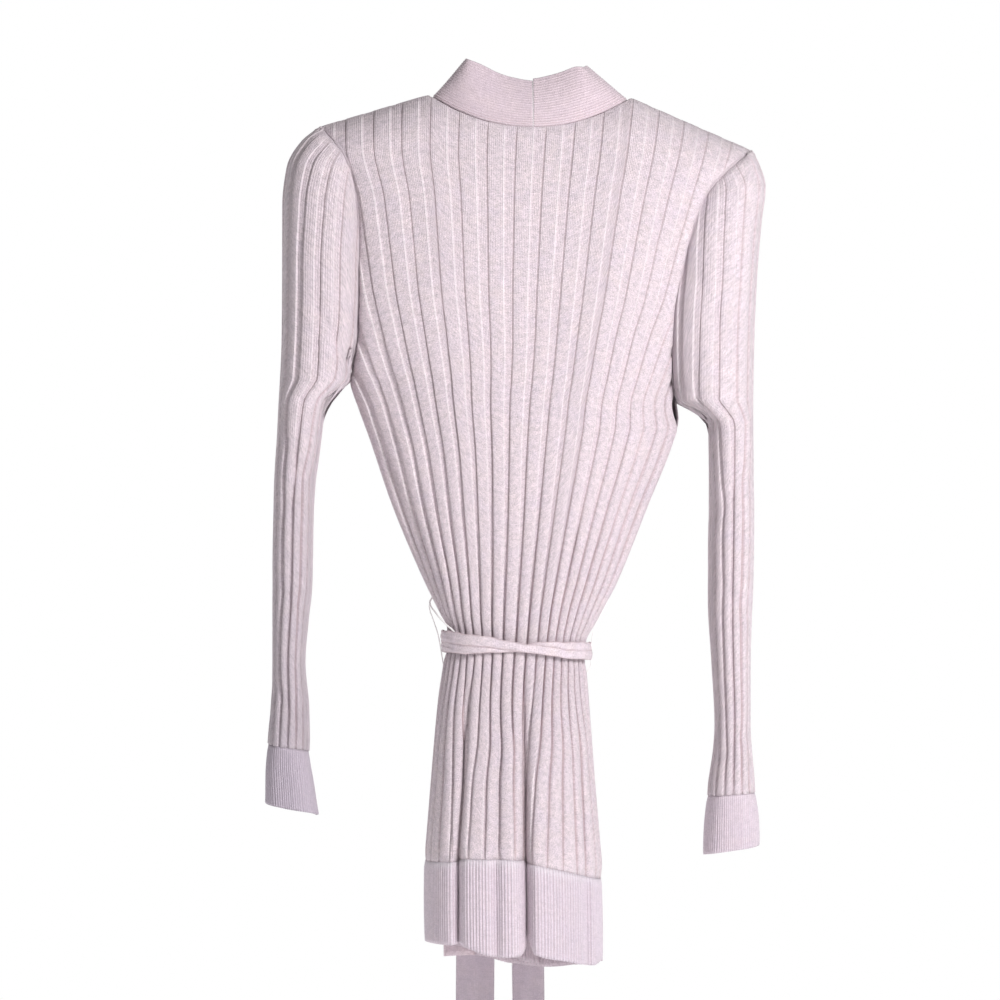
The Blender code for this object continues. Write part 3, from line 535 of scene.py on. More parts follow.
def round_folds(line, z):
    """Place across of a rib line on the skirt, with its ribs evenly spread over the folded cloth."""
    level = np.clip((ARC_LEVELS[0] - z) / (ARC_LEVELS[0] - ARC_LEVELS[-1]), 0, 1) * (len(ARC_LEVELS) - 1)
    spot = np.clip((line + BACK_RIBS / 2) / BACK_RIBS, 0, 1) * ARC_STEPS
    i = np.minimum(level.astype(int), len(ARC_LEVELS) - 2)
    j = np.minimum(spot.astype(int), ARC_STEPS - 1)
    u, v = level - i, spot - j
    upper = ARC_TABLE[i, j] * (1 - v) + ARC_TABLE[i, j + 1] * v
    lower = ARC_TABLE[i + 1, j] * (1 - v) + ARC_TABLE[i + 1, j + 1] * v
    return upper * (1 - u) + lower * u


def back_place(line, z):
    """Place across of a rib line of the back, counted from the middle one. Toward the left it's below 0."""
    middle = read(BACK_LINES, z, MIDDLE_X)
    left, right = across(np.full_like(z, -1.0), z)[0], across(np.full_like(z, 1.0), z)[0]
    reach = np.where(line < 0, middle - left, right - middle)
    pitch = np.where(line < 0, read(BACK_LINES, z, LEFT_PITCH), read(BACK_LINES, z, RIGHT_PITCH))
    drawn_in = np.where(line < 0, read(BACK_LINES, z, LEFT_DRAW), read(BACK_LINES, z, RIGHT_DRAW))
    armpit = np.where(line < 0, -252, -272)
    worn = np.clip((armpit + 6 - z) / 30, 0, 1)
    n = np.abs(line)
    drawn_in = drawn_in * (1 - worn) + (pitch * 10 - reach) / 100 * worn
    away = np.minimum(pitch * n - drawn_in * n**2, reach)
    t = place_of(middle + np.sign(line) * away, z)
    t = np.where(away >= reach - 1e-6, np.sign(line), t)
    low = np.clip((-505 - z) / 90, 0, 1)
    low = low * low * (3 - 2 * low)
    return t * (1 - low) + round_folds(line, z) * low


def panel(name, start, end, ribs, face, wrap, hem, rows, kinds, under=False):
    """A wide-rib panel. The back's ribs follow BACK_LINES, a front's run evenly from side to wrap edge."""
    mirrored = end < start
    number, kind = rib_columns(ribs, kinds, mirrored)
    pitch = (end - start) / ribs
    down = rows_down(rows, 0.05)
    chosen = np.broadcast_to(place_in_rib(kind)[None, :], (rows, len(kind)))
    t = start + pitch * (number + chosen)
    for _ in range(3):
        top = top_of(t, face, wrap)
        z = top + (read(hem, t, JOIN) - top) * down
        width = read(RIB_LINES, z, TO_RIGHT) - read(RIB_LINES, z, TO_LEFT)
        pitch_mm = read(BACK_LINES, z, LEFT_PITCH) if face < 0 else width * abs(pitch) / 2
        chosen = rib_places(read(RIB_SHAPE, z, RAISED_SHARE), pitch_mm, kind, mirrored)
        t = back_place(number + chosen - ribs / 2, z) if face < 0 else start + pitch * (number + chosen)
    smooth = body(t, z, face)
    facing = (0, face, 0)
    if under:
        inset = np.minimum(1.0, np.abs(t - start) / 0.15) * read(SECTIONS, z, UNDER_INSET)
        smooth = smooth - inset[..., None] * directions(smooth, facing)
    normal = directions(smooth, facing)
    uneven = 1 + 0.22 * np.sin(number * 2.4 + 1.1 + (face > 0)) + 0.12 * np.sin(number * 5.1)
    step, groove = profile(STEP_SHARE, kind, mirrored), profile(GROOVE_SHARE, kind, mirrored)
    gathered = read(RIB_SHAPE, z, GROOVE)
    height = step * read(RIB_SHAPE, z, FLAT_STEP) + groove * uneven * gathered
    held = np.minimum(1, down * 60 + 0.25) * np.where(z > -270, np.clip((1 - np.abs(t)) / 0.02, 0.0, 1), 1)
    ended = np.clip((down - 0.975) / 0.025, 0, 1) ** 2
    height = height * (1 - 0.85 * ended) - 0.3 * ended
    points = smooth + (height * held)[..., None] * normal
    # Painted shade and highlight: the crease mark paints shade in each rib's thin crease and, on the back,
    # at the bottom of the skirt's two deep folds; the crest mark paints a highlight on the thin line at each
    # rib's right edge
    shade = 0.9 * recess(t, z) if face < 0 else 0
    marks = {"crease": profile(IN_CREASE, kind, mirrored) * (1 + 0.4 * gathered) * held + shade,
             "crest": profile(ON_CREST, kind, mirrored) * held / (1 + 0.5 * gathered)}
    return cloth(name, points, (number + chosen) * WIDE_RIB, -lengths(smooth, 0), PANEL_WALL, WIDE_KNIT,
                 facing, marks, merge=face < 0)


# Fine ribs

HEM_RUN_Z = -740.0
HEM_STEPS = 900
# A fine rib's columns: their height, and how far each lies in the hollow, which gets painted shade
FINE_PROFILE = [0.0, 0.55, 1.0, 1.0, 0.55]
FINE_CREASE = [1.0, 0.45, 0.0, 0.0, 0.45]


def fine_columns(ribs):
    """(place, height, share in the crease) of each column across a number of fine ribs."""
    columns = len(FINE_PROFILE)
    kind = np.append(np.tile(np.arange(columns), ribs), 0)
    place = np.arange(ribs * columns + 1) / (ribs * columns)
    return place, np.array(FINE_PROFILE)[kind], np.array(FINE_CREASE)[kind]


def hem_band(name, start, end, face, hem, rows, under=False):
    """Fine-ribbed hem that carries a panel on below its join."""
    coarse = np.linspace(start, end, HEM_STEPS)
    run = run_along(body(coarse, np.full(HEM_STEPS, HEM_RUN_Z), face))
    ribs = int(run[-1] / FINE_PITCH)
    place, raised, hollow = fine_columns(ribs)
    t = np.interp(place * run[-1], run, coarse)[None, :]
    down = np.linspace(0, 1, rows)[:, None]
    join = read(hem, t, JOIN)
    z = join + (read(hem, t, HEM) - join) * down
    t = np.broadcast_to(t, z.shape)
    smooth = body(t, z, face)
    facing = (0, face, 0)
    inset = np.minimum(1.0, np.abs(t - start) / 0.15) * read(SECTIONS, z, UNDER_INSET) * under
    smooth = smooth - inset[..., None] * directions(smooth, facing)
    normal = directions(smooth, facing)
    ripple = 0.5 * np.sin(run[-1] * place * 0.11 + 2 * down) * np.sin(math.pi * down)
    settle = 0.2 + 0.8 * np.minimum(1, down * 12) - 0.25 * np.maximum(0, down * 12 - 11)
    height = raised * 0.95 * settle + ripple * 0.8 + 0.1
    points = smooth + height[..., None] * normal
    stitched = hump(down, 0, 1 / 12, 1)
    # Painted shade and highlight: shade in the back's two deep folds, a flat share of shade on the fronts,
    # and shade in the rib hollows; turned is painted shade, flat on the fronts and on the back growing
    # toward its right side; crest is a painted highlight on the rib tops, strongest along the join
    shade = 1.1 * recess(t, z) if face < 0 else 0.15
    turned = 0.07 + 0.12 * np.clip((t - 0.2) / 0.4, 0, 1) if face < 0 else 0.1
    marks = {"crease": hollow * settle * 1.2 + shade, "shade": turned,
             "crest": raised * (0.3 + 0.9 * stitched)}
    return cloth(name, points, place * ribs * FINE_PITCH * MM, -lengths(smooth, 0), BAND_WALL,
                 FINE_KNIT, facing, marks)


def armhole(side):
    """The tables of the edge that the sleeve is sewn to and of its own inner edge."""
    return (LEFT_EDGE, LEFT_INNER) if side < 0 else (RIGHT_EDGE, RIGHT_INNER)


def sleeve_cut(side, z):
    """The level cut of a sleeve at heights z: centre x, half width outward, half depth, end angle."""
    edge, inner = armhole(side)
    outer = LEFT_OUTER if side < 0 else RIGHT_OUTER
    top, armpit = edge[0][0], inner[0][0]
    seam = body(np.full(np.shape(z), float(side)), np.maximum(z, armpit), -1)
    seam_x = np.where(z > armpit, seam[..., 0], read(inner, z))
    seam_y = np.where(z > armpit, -seam[..., 1] - HALF_SEAM, 0.0)
    depth = np.maximum(read(SLEEVE_DEPTH, z - top), seam_y + 2.0)
    sine = (seam_y / depth) ** (1 / SQUARED)
    lean = np.sqrt(1 - sine**2) ** SQUARED
    outer_x = read(outer, z)
    centre = (seam_x + lean * outer_x) / (1 + lean)
    return centre, outer_x - centre, depth, math.pi - np.arcsin(sine)


def rounded(angle):
    """Cosine and sine of a level cut, squared off a little so that the back of the sleeve lies flatter."""
    c, s = np.cos(angle), np.sin(angle)
    return np.sign(c) * np.abs(c) ** SQUARED, np.abs(s) ** SQUARED


def cut_run(side, z):
    """Distance round half a level cut, from the outer edge, at evenly spaced angles up to its end."""
    centre, wide, depth, end = sleeve_cut(side, z)
    share = np.linspace(0, 1, CUT_SAMPLES).reshape((-1,) + (1,) * np.ndim(z))
    c, s = rounded(share * end)
    x, y = wide * c, depth * s
    steps = np.hypot(np.diff(x, axis=0), np.diff(y, axis=0))
    return np.concatenate([np.zeros((1,) + np.shape(z)), np.cumsum(steps, axis=0)])


def rib_pitch(side, z):
    """Width of one wide rib of a sleeve: even over the cap, then drawn in with the sleeve."""
    armpit = armhole(side)[1][0][0]
    around = np.where(z > armpit, cut_run(side, np.array(armpit))[-1], cut_run(side, z)[-1])
    return around / (SLEEVE_RIBS / 2)


def on_sleeve(side, wale, z):
    """Points of the smooth sleeve. wale counts ribs from the outer edge and is above 0 over the back."""
    centre, wide, depth, end = sleeve_cut(side, z)
    run = cut_run(side, z)
    share = np.abs(wale) / (SLEEVE_RIBS / 2)
    facing_narrower = np.interp(z, [-360, -270], [0.36, 0.0])
    even = share + facing_narrower * np.sin(2 * math.pi * share) / (2 * math.pi)
    wanted = np.minimum(even * SLEEVE_RIBS / 2 * rib_pitch(side, z), run[-1])
    i = np.clip((run < wanted).sum(axis=0) - 1, 0, CUT_SAMPLES - 2)[None]
    low, high = np.take_along_axis(run, i, 0)[0], np.take_along_axis(run, i + 1, 0)[0]
    angle = (i[0] + (wanted - low) / np.maximum(high - low, 1e-6)) / (CUT_SAMPLES - 1) * end
    c, s = rounded(angle)
    return np.stack([centre + wide * c, -np.sign(wale) * depth * s, z + 0 * angle], axis=-1)


def cap_top(side, wale):
    """Height at which a wale of the sleeve meets the armhole seam."""
    edge, inner = armhole(side)
    low, high = np.full(np.shape(wale), inner[0][0]), np.full(np.shape(wale), edge[0][0])
    return halving(low, high, lambda z: cut_run(side, z)[-1] > np.abs(wale) * rib_pitch(side, z), 24)[1]


def cuff_line(heights, wale):
    """Height of a cuff's join or end at a wale."""
    outer, inner = heights
    return outer + (inner - outer) * np.abs(wale) / (SLEEVE_RIBS / 2)


def sleeve(name, side, join):
    """A sleeve in wide ribs, from the armhole seam to its cuff's join."""
    mirrored = side > 0
    number, kind = rib_columns(SLEEVE_RIBS, ALL_KINDS, mirrored)
    facing = (side, 0, 0)
    down = rows_down(SLEEVE_ROWS, 0.06)
    half = SLEEVE_RIBS / 2
    wale = np.broadcast_to(number + place_in_rib(kind) - half, (SLEEVE_ROWS, len(number)))
    join = cuff_line(join, wale)
    for _ in range(2):
        top = cap_top(side, wale[SLEEVE_ROWS // 2])[None, :]
        z = top + (join - top) * down
        raised = np.interp(z, [-620, -300, -60], [0.70, 0.68, 0.60])
        chosen = rib_places(raised, rib_pitch(side, z), kind, mirrored)
        wale = number + chosen - half
    smooth = on_sleeve(side, wale, z)
    normal = directions(smooth, facing)
    reach = top - z
    pressed = creases(smooth[..., 0], smooth[..., 2], SLEEVE_CREASES)
    pressed = pressed * np.minimum(1, np.abs(smooth[..., 1]) / 14) * np.clip(reach / 14 - 0.1, 0, 1)
    smooth = smooth - pressed[..., None] * normal
    normal = directions(smooth, facing)
    share = reach / (top - join)
    flat = np.interp(share, [0, 0.01, 0.04, 0.7, 1.0], [0.1, 0.5, 1.3, 1.2, 0.7])
    swell = np.interp(share, [0, 0.35, 0.6, 0.97, 1.0], [0, 0.4, 1.2, 1.5, 0.6])
    height = profile(STEP_SHARE, kind, mirrored) * flat + profile(GROOVE_SHARE, kind, mirrored) * swell
    bumps = np.sin((armhole(side)[0][0][0] - z) * 1.1 * 2 * math.pi / BUMP_STEP)
    height = height + hump(reach, 0.5, 1.2, -0.35) + hump(reach, 4.0, 2.0, 0.5)
    height = height + hump(reach, 4.5, 1.6, 0.35) * bumps
    height = height * np.minimum(1, reach / 3 + 0.1)
    points = smooth + height[..., None] * normal
    points[..., 2] -= 0.8 * np.exp(-reach / 1.5)
    shown = np.minimum(1, reach / 6)
    # Painted shade: shade darkens the left sleeve more and more toward its cuff and gives the right one a
    # light, even share; crease paints shade in the rib creases, crest a highlight on the thin line at each
    # rib's edge
    shade = np.interp(z, [-590, -480, -230], [0.42, 0.30, 0.04] if side < 0 else [0.06, 0.04, 0.06])
    marks = {"crease": profile(IN_CREASE, kind, mirrored) * shown * (1 + 0.6 * swell), "shade": shade,
             "crest": profile(ON_CREST, kind, mirrored) * shown / (1 + swell)}
    return cloth(name, points, (number + chosen) * SLEEVE_RIB, -lengths(smooth, 0), PANEL_WALL, WIDE_KNIT,
                 facing, marks, ring=True)


def cuff(name, side, join, end):
    """The fine-ribbed cuff that goes on below a sleeve."""
    around = float(cut_run(side, np.array(float(end[0])))[-1] * 2)
    place, bump, hollow = fine_columns(int(around / FINE_PITCH))
    wale = (place * 2 - 1) * SLEEVE_RIBS / 2
    share = np.linspace(0, 1, CUFF_ROWS)[:, None]
    join, end = cuff_line(join, wale), cuff_line(end, wale)
    z = join + (end - join) * share
    smooth = on_sleeve(side, np.broadcast_to(wale, z.shape), z)
    facing = (side, 0, 0)
    normal = directions(smooth, facing)
    wave = 0.7 * np.sin(place * 2 * math.pi * 4 + side) * np.sin(math.pi * share) ** 0.5
    height = bump * 0.8 * (0.3 + 0.7 * np.minimum(1, share * 8)) + wave
    points = smooth + height[..., None] * normal
    # Painted shade: the left cuff gets a strong share of shade and the right a light one; crease paints
    # shade in the rib hollows, crest a faint highlight on the rib tops
    shade = 0.58 if side < 0 else 0.14
    marks = {"crease": hollow * 1.2, "shade": shade, "crest": bump * 0.2}
    return cloth(name, points, place * around * MM, -lengths(smooth, 0), BAND_WALL, FINE_KNIT, facing, marks,
                 ring=True)


# The collar and front bands

NECK_STEPS = 56


def chest(x, z, inset):
    """Points of the body's front at x and z, moved along its outward direction."""
    t = place_of(x, z)
    point = body(t, z, 1)
    ahead = body(t + 0.004, z, 1) - body(t - 0.004, z, 1)
    rise = body(t, z + 0.4, 1) - body(t, z - 0.4, 1)
    return point + unit(np.cross(ahead, rise)) * inset[..., None]


def smoothed(values, reach):
    """Each row evened out with its neighbours."""
    first, last = np.repeat(values[:1], reach, axis=0), np.repeat(values[-1:], reach, axis=0)
    padded = np.concatenate([first, values, last])
    total = np.cumsum(np.concatenate([np.zeros((1,) + values.shape[1:]), padded]), axis=0)
    return (total[2 * reach + 1:] - total[: -2 * reach - 1]) / (2 * reach + 1)


def band(name, side, rise, wrap, hem, under):
    """Collar and front band in one: centre back, round the neck, down the wrap edge to the hem."""
    neck_t = LEFT_NECK_T if side < 0 else RIGHT_NECK_T
    end_t = LEFT_END_T if side < 0 else RIGHT_END_T
    middle_t = float(place_of(NECK_CENTRE_X + side * 0.2, NECK_DIP))
    neck_share = np.linspace(0, 1, NECK_STEPS)
    neck_places = middle_t + (neck_t - middle_t) * neck_share
    neck_base = body(neck_places, meets_line(neck_places, neck_line), -1)
    neck_rise = curve([0, 0.27, 0.52, 0.77, 1], rise, neck_share)
    bottom = float(read(hem, end_t, HEM))
    top = wrap[0][0] + 9.0
    z = np.concatenate([np.linspace(top, top - 24, 12)[1:], np.linspace(top - 24, bottom, 160)[1:]])
    t = np.interp(z, *zip(*sorted([((LEFT_NECK if side < 0 else RIGHT_NECK)[1], neck_t)] + wrap)))
    t = smoothed(t, 3)
    inset = read(SECTIONS, z, UNDER_INSET) * under
    base = chest(across(t, z)[0], z, -inset)
    reach, lift, follow = (read(BAND_REACH, z, column) for column in (1, 2, 3))
    free = chest(base[:, 0] - side * reach, z + lift, -inset)
    loose = base + np.stack([-side * reach, np.full_like(z, 9.0), lift], axis=-1)
    front_rise = (free - base) * follow[:, None] + (loose - base) * (1 - follow[:, None])
    base = np.concatenate([neck_base, base])
    turn = slice(NECK_STEPS - 6, NECK_STEPS + 10)
    base[turn] = smoothed(base, 3)[turn]
    offset = smoothed(np.concatenate([neck_rise, front_rise]), 5)
    follow = smoothed(np.concatenate([np.zeros(NECK_STEPS), follow]), 5)
    inset = np.concatenate([np.zeros(NECK_STEPS), inset])
    place, bump, hollow = fine_columns(BAND_RIBS)
    w = place[None, :]
    smooth = base[:, None, :] + unit(offset)[:, None, :] * 0.5 + offset[:, None, :] * w[..., None]
    on_chest = chest(smooth[..., 0], smooth[..., 2], -inset[:, None])
    smooth[..., 1] += (on_chest[..., 1] - smooth[..., 1]) * follow[:, None]
    neck_part = np.interp(np.arange(len(base)), [0, 50, 90, 130], [1, 1, 0.6, 0.25])[:, None]
    smooth[..., 1] -= neck_part * 3.0 * np.sin(math.pi * w) * (1 - follow[:, None])
    facing = (-side * 0.2, 1, 0)
    normal = directions(smooth, facing)
    edge = np.minimum(1, np.minimum(w, 1 - w) * 14)
    near_seam = hump(w, 0, 0.14, 1)
    height = bump * (0.45 + 0.35 * near_seam) * (0.35 + 0.65 * edge) + hump(w, 0, 0.03, -1.2)
    points = smooth + height[..., None] * normal
    # Painted shade over the neck part, more on the left band and toward the free edge; crease adds painted
    # shade in the hollows near the seam and a flat share over the neck part; crest is a painted highlight on
    # the rib tops near the seam
    painted_collar_shade = (0.16 if side < 0 else 0.11) * neck_part * (0.7 + 0.5 * w**2)
    marks = {"crease": hollow * (0.2 + 0.8 * near_seam) + 0.1 * neck_part, "shade": painted_collar_shade,
             "crest": bump * (0.05 + 0.3 * near_seam)}
    return cloth(name, points, w * BAND_WIDTH, lengths(smooth, 0), BAND_WALL, COLLAR_KNIT, facing, marks)


# The belt

BELT_CLEAR = 3.9


def waist_path(turn, out):
    """Points round the waist, that far out from the body."""
    left, right = float(read(LEFT_EDGE, WAIST_Z, EDGE_X)), float(read(RIGHT_EDGE, WAIST_Z, EDGE_X))
    middle, half_width = (left + right) / 2, (right - left) / 2
    half_depth = float(read(SECTIONS, WAIST_Z, DEPTH_FRONT)) + HALF_SEAM
    angle = 2 * math.pi * turn
    power = 2 / ROUNDNESS
    c, s = np.cos(angle), np.sin(angle)
    x = middle + (half_width + out) * np.copysign(np.abs(c) ** power, c)
    y = (half_depth + out) * np.copysign(np.abs(s) ** power, s)
    return np.stack([x, y, WAIST_Z - WAIST_TILT * (x - middle)], axis=-1)


def strand(name, rows, replaces):
    """A flattened tube of the belt's knit, laid round the waist."""
    turn = np.linspace(0, 1, 241)[:, None]
    angle = np.linspace(0, 2 * math.pi, 37)[None, :]
    mid, half, out = (read(rows, turn, column) for column in (1, 2, 3))
    crimp = 0.35 * np.sin(turn * 2 * math.pi * 9) + 0.25 * np.sin(turn * 2 * math.pi * 23 + 1)
    thick = 1.7 + 0.25 * np.sin(turn * 2 * math.pi * 5)
    bulge = np.sign(np.sin(angle)) * np.abs(np.sin(angle)) ** 0.7
    wrinkle = 0.28 * np.sin(np.cos(angle) * 7 + turn * 40) * (np.sin(angle) > 0)
    stand = BELT_CLEAR + out + thick * (1 + bulge) + wrinkle
    points = waist_path(turn, stand)
    points[..., 2] = points[..., 2] + mid + crimp + (half + 0.4 * crimp) * np.cos(angle)
    # Painted shade along the strand's top and bottom edges, where it tucks against the other strand
    tucked = np.clip((np.abs(np.cos(angle)) - 0.72) / 0.28, 0, 1)
    ring_skin(name, points, turn * BELT_TURN, angle, replaces, tucked)


def ring_skin(name, points, u, angle, replaces, crease=0.0):
    """A closed skin of the belt's knit, merged along both of its seams."""
    marks = {"crease": crease, "crest": 0.0}
    cloth(name, points, u, angle / 6.3 * BELT_GIRTH, 0, BELT_KNIT, (0, 0, 0), marks, ring=True,
          replaces=replaces)


def tail(name, rows, twist):
    """A hanging belt end, folded soft along its length."""
    z = np.linspace(rows[0][0], rows[-1][0], 130)[:, None]
    share = np.linspace(-0.5, 0.5, 25)[None, :]
    x, y, width = (read(rows, z, column) for column in (1, 2, 3))
    fall = (rows[0][0] - z) / (rows[0][0] - rows[-1][0])
    lean = twist * np.sin(fall * 4.2 + 0.4)
    bow = 1.6 * np.sin(fall * 9 + twist) * (share * 2) ** 2
    points = np.stack([x + width * share * np.cos(lean), y + width * share * np.sin(lean) + bow - 0.8,
                       z + 0 * share], axis=-1)
    points[..., 1] += 0.8 * np.sin(share * 12 + fall * 7) * np.minimum(1, fall * 5)
    return cloth(name, points, width * share * MM, -lengths(points, 0), TAIL_WALL, SHADED_TAIL_KNIT, (0, 1, 0),
                 {"crease": 0.0, "crest": 0.0})


def swept(name, path, thick, knit, replaces=None):
    """A round tube of the given radius along a path of points, closed at both ends."""
    bpy.ops.curve.primitive_bezier_curve_add()
    line = bpy.context.object
    line.name = name
    line.data.dimensions = "3D"
    spline = line.data.splines[0]
    spline.bezier_points.add(len(path) - 2)
    for spot, (x, y, z) in zip(spline.bezier_points, path):
        spot.co = (x * MM, y * MM, z * MM)
        spot.handle_left_type = spot.handle_right_type = "AUTO"
    line.data.resolution_u = 10
    line.data.bevel_depth = thick * MM
    line.data.bevel_resolution = 4
    line.data.use_fill_caps = True
    bpy.ops.object.convert(target="MESH")
    piece = bpy.context.object
    piece.name = piece.data.name = name
    bpy.ops.object.shade_smooth()
    piece.data.materials.clear()
    piece.data.materials.append(knit)
    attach(piece, "root")
    if replaces:
        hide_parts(replaces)


def armhole_seam(name, side):
    """The linked seam down the back of an armhole and up its front."""
    edge, inner = armhole(side)
    levels = edge[0][0] - 2 + (inner[0][0] + 3 - edge[0][0]) * np.sin(np.linspace(0, math.pi / 2, 26))
    place = np.full_like(levels, float(side))
    behind, ahead = body(place, levels, -1), body(place, levels, 1)[::-1]
    path = np.concatenate([behind, ahead[1:]])
    path[:, 1] += np.clip(path[:, 1], -0.5, 0.5)
    swept(name, path.tolist(), SEAM_RADIUS, WIDE_KNIT)


def knot():
    """The belt's overhand knot: two turns of the belt crossing over each other."""
    cx, cy, cz = KNOT_CENTRE
    turn = np.linspace(0, 1, 97)[:, None]
    angle = np.linspace(0, 2 * math.pi, 29)[None, :]
    path = 2 * math.pi * turn
    ring_out = (4.2 + 0.8 * np.sin(path * 2 + 1)) * np.cos(angle) * 0.75
    ring_up = 4.6 * np.sin(angle)
    for name, lean, wide, tall, lift, replaces in (("knit_belt_knot", 0.5, 14.5, 8.0, 0, "belt_knot"),
                                                   ("knit_belt_knot_over", -0.7, 9.5, 10.5, 1.5, None)):
        x = (wide + ring_out) * np.cos(path)
        z = (tall + ring_out) * np.sin(path)
        y = 3.5 * np.sin(2 * path + lean) + lift + ring_up
        c, s = math.cos(lean), math.sin(lean)
        points = np.stack([cx + x * c - z * s, cy + y, cz + x * s + z * c], axis=-1)
        ring_skin(name, points, turn * KNOT_TURN, angle, replaces)


# Materials: knit built from shader node groups

def node_group(name, outputs, inputs=()):
    group = bpy.data.node_groups.new(name, "ShaderNodeTree")
    for word, kind in inputs:
        group.interface.new_socket(word, in_out="INPUT", socket_type=kind)
    for word, kind in outputs:
        group.interface.new_socket(word, in_out="OUTPUT", socket_type=kind)
    return group, group.nodes.new("NodeGroupInput"), group.nodes.new("NodeGroupOutput")


def add(tree, kind, inputs=None, **settings):
    """A node with its settings and socket values. A value that is a socket is linked."""
    node = tree.nodes.new(kind)
    for key, value in settings.items():
        setattr(node, key, value)
    for key, value in (inputs or {}).items():
        if isinstance(value, bpy.types.NodeSocket):
            tree.links.new(value, node.inputs[key])
        else:
            node.inputs[key].default_value = value
    return node


def mixed(tree, factor, first, second):
    node = add(tree, "ShaderNodeMix", {"Factor": factor, 6: first, 7: second}, data_type="RGBA")
    return node.outputs[2]


def sums(tree, operation, *values, clamp=False):
    inputs = dict(enumerate(values))
    return add(tree, "ShaderNodeMath", inputs, operation=operation, use_clamp=clamp).outputs[0]


def noise(tree, vector, scale, detail, roughness=0.5):
    inputs = {"Vector": vector, "Scale": scale, "Detail": detail, "Roughness": roughness}
    return add(tree, "ShaderNodeTexNoise", inputs).outputs[0]


def stretched(tree, vector, x, y):
    return add(tree, "ShaderNodeMapping", {"Vector": vector, "Scale": (x, y, 1)}).outputs[0]


def spread(tree, value, most):
    """A noise's middle range spread from -most to most."""
    inputs = {"Value": value, "From Min": 0.3, "From Max": 0.7, "To Min": -most, "To Max": most}
    return add(tree, "ShaderNodeMapRange", inputs).outputs[0]


def heather_group():
    """Colour of a heathered yarn: flecks along the wales, lilac and cream mottling, painted shade in the
    creases, a painted highlight on the crests and painted shade where Shade is set.
    """
    inputs = [(word, "NodeSocketFloat") for word in ("Fleck", "Crease", "Crest", "Shade")]
    outputs = [("Colour", "NodeSocketColor"), ("Height", "NodeSocketFloat")]
    group, given, out = node_group("heather_yarn", outputs, inputs)
    uv = add(group, "ShaderNodeTexCoord")
    fleck = spread(group, noise(group, stretched(group, uv.outputs["UV"], 620, 900), 1.0, 2.0, 0.7), 1.0)
    streak = spread(group, noise(group, stretched(group, uv.outputs["UV"], 150, 260), 1.0, 2.0), 0.5)
    patch = noise(group, uv.outputs["Object"], 26.0, 3.0)
    hue = noise(group, uv.outputs["Object"], 75.0, 2.0)
    lilac = mixed(group, hue, (0.640, 0.550, 0.665, 1), (0.790, 0.665, 0.655, 1))
    warm = mixed(group, patch, lilac, (0.745, 0.635, 0.685, 1))
    strength = sums(group, "MULTIPLY", sums(group, "ADD", fleck, streak), given.outputs["Fleck"])
    bright = sums(group, "ADD", strength, 1.0)
    lit = add(group, "ShaderNodeVectorMath", {0: warm, "Scale": bright}, operation="SCALE").outputs[0]
    # Painted shade: the Crease mark darkens the colour toward a warm brown
    crease_painted_shade = sums(group, "MULTIPLY", given.outputs["Crease"], 0.5, clamp=True)
    with_crease_painted_shade = mixed(group, crease_painted_shade, lit, (0.50, 0.345, 0.36, 1))
    # Painted highlight: the Crest mark lightens the colour toward a pale pink-white
    crest_painted_highlight = sums(group, "MULTIPLY", given.outputs["Crest"], 0.5, clamp=True)
    pale = mixed(group, crest_painted_highlight, with_crease_painted_shade, (0.93, 0.885, 0.90, 1))
    # Painted shade: the Shade mark darkens the colour toward a lilac grey
    with_painted_shade = mixed(group, given.outputs["Shade"], pale, (0.26, 0.235, 0.29, 1))
    group.links.new(with_painted_shade, out.inputs["Colour"])
    group.links.new(fleck, out.inputs["Height"])
    return group


def stitch_group():
    """Height of the stitches: columns of slanted legs, as knit shows close to."""
    group, _, out = node_group("knit_stitches", [("Height", "NodeSocketFloat")])
    uv = add(group, "ShaderNodeTexCoord")
    parts = add(group, "ShaderNodeSeparateXYZ", {0: uv.outputs["UV"]}).outputs
    leg = sums(group, "COSINE", sums(group, "MULTIPLY", parts[0], 2 * math.pi / STITCH_WIDTH))
    slant = sums(group, "MULTIPLY", leg, 1.6)
    course = sums(group, "MULTIPLY_ADD", parts[1], 2 * math.pi / STITCH_HEIGHT, slant)
    group.links.new(sums(group, "ADD", sums(group, "SINE", course), leg), out.inputs["Height"])
    return group


def knit(name, fleck, bump, tint=(0, 0, 0), tinted=0.0):
    """A knit material, with its yarn's colour mixed with a share of one colour, which on the tails is
    painted shade.
    """
    made = bpy.data.materials.new(name)
    made.use_nodes = True
    tree = made.node_tree
    shader = tree.nodes["Principled BSDF"]
    shader.inputs["Roughness"].default_value = 0.92
    shader.inputs["Specular IOR Level"].default_value = 0.15
    shader.inputs["Sheen Weight"].default_value = 0.25
    shader.inputs["Sheen Roughness"].default_value = 0.6
    yarn = add(tree, "ShaderNodeGroup", node_tree=HEATHER)
    yarn.inputs["Fleck"].default_value = fleck
    # Marks that paint shade (crease, shade) and a highlight (crest) into the colour
    for word in ("Crease", "Crest", "Shade"):
        mark = add(tree, "ShaderNodeAttribute", attribute_name=word.lower())
        tree.links.new(mark.outputs["Fac"], yarn.inputs[word])
    colour = yarn.outputs["Colour"]
    if tinted:
        colour = mixed(tree, tinted, colour, (*tint, 1))
    tree.links.new(colour, shader.inputs["Base Color"])
    loops = add(tree, "ShaderNodeGroup", node_tree=STITCHES)
    height = sums(tree, "ADD", loops.outputs[0], yarn.outputs["Height"])
    raised = add(tree, "ShaderNodeBump", {"Strength": bump, "Distance": 0.0004, "Height": height})
    tree.links.new(raised.outputs[0], shader.inputs["Normal"])
    return made


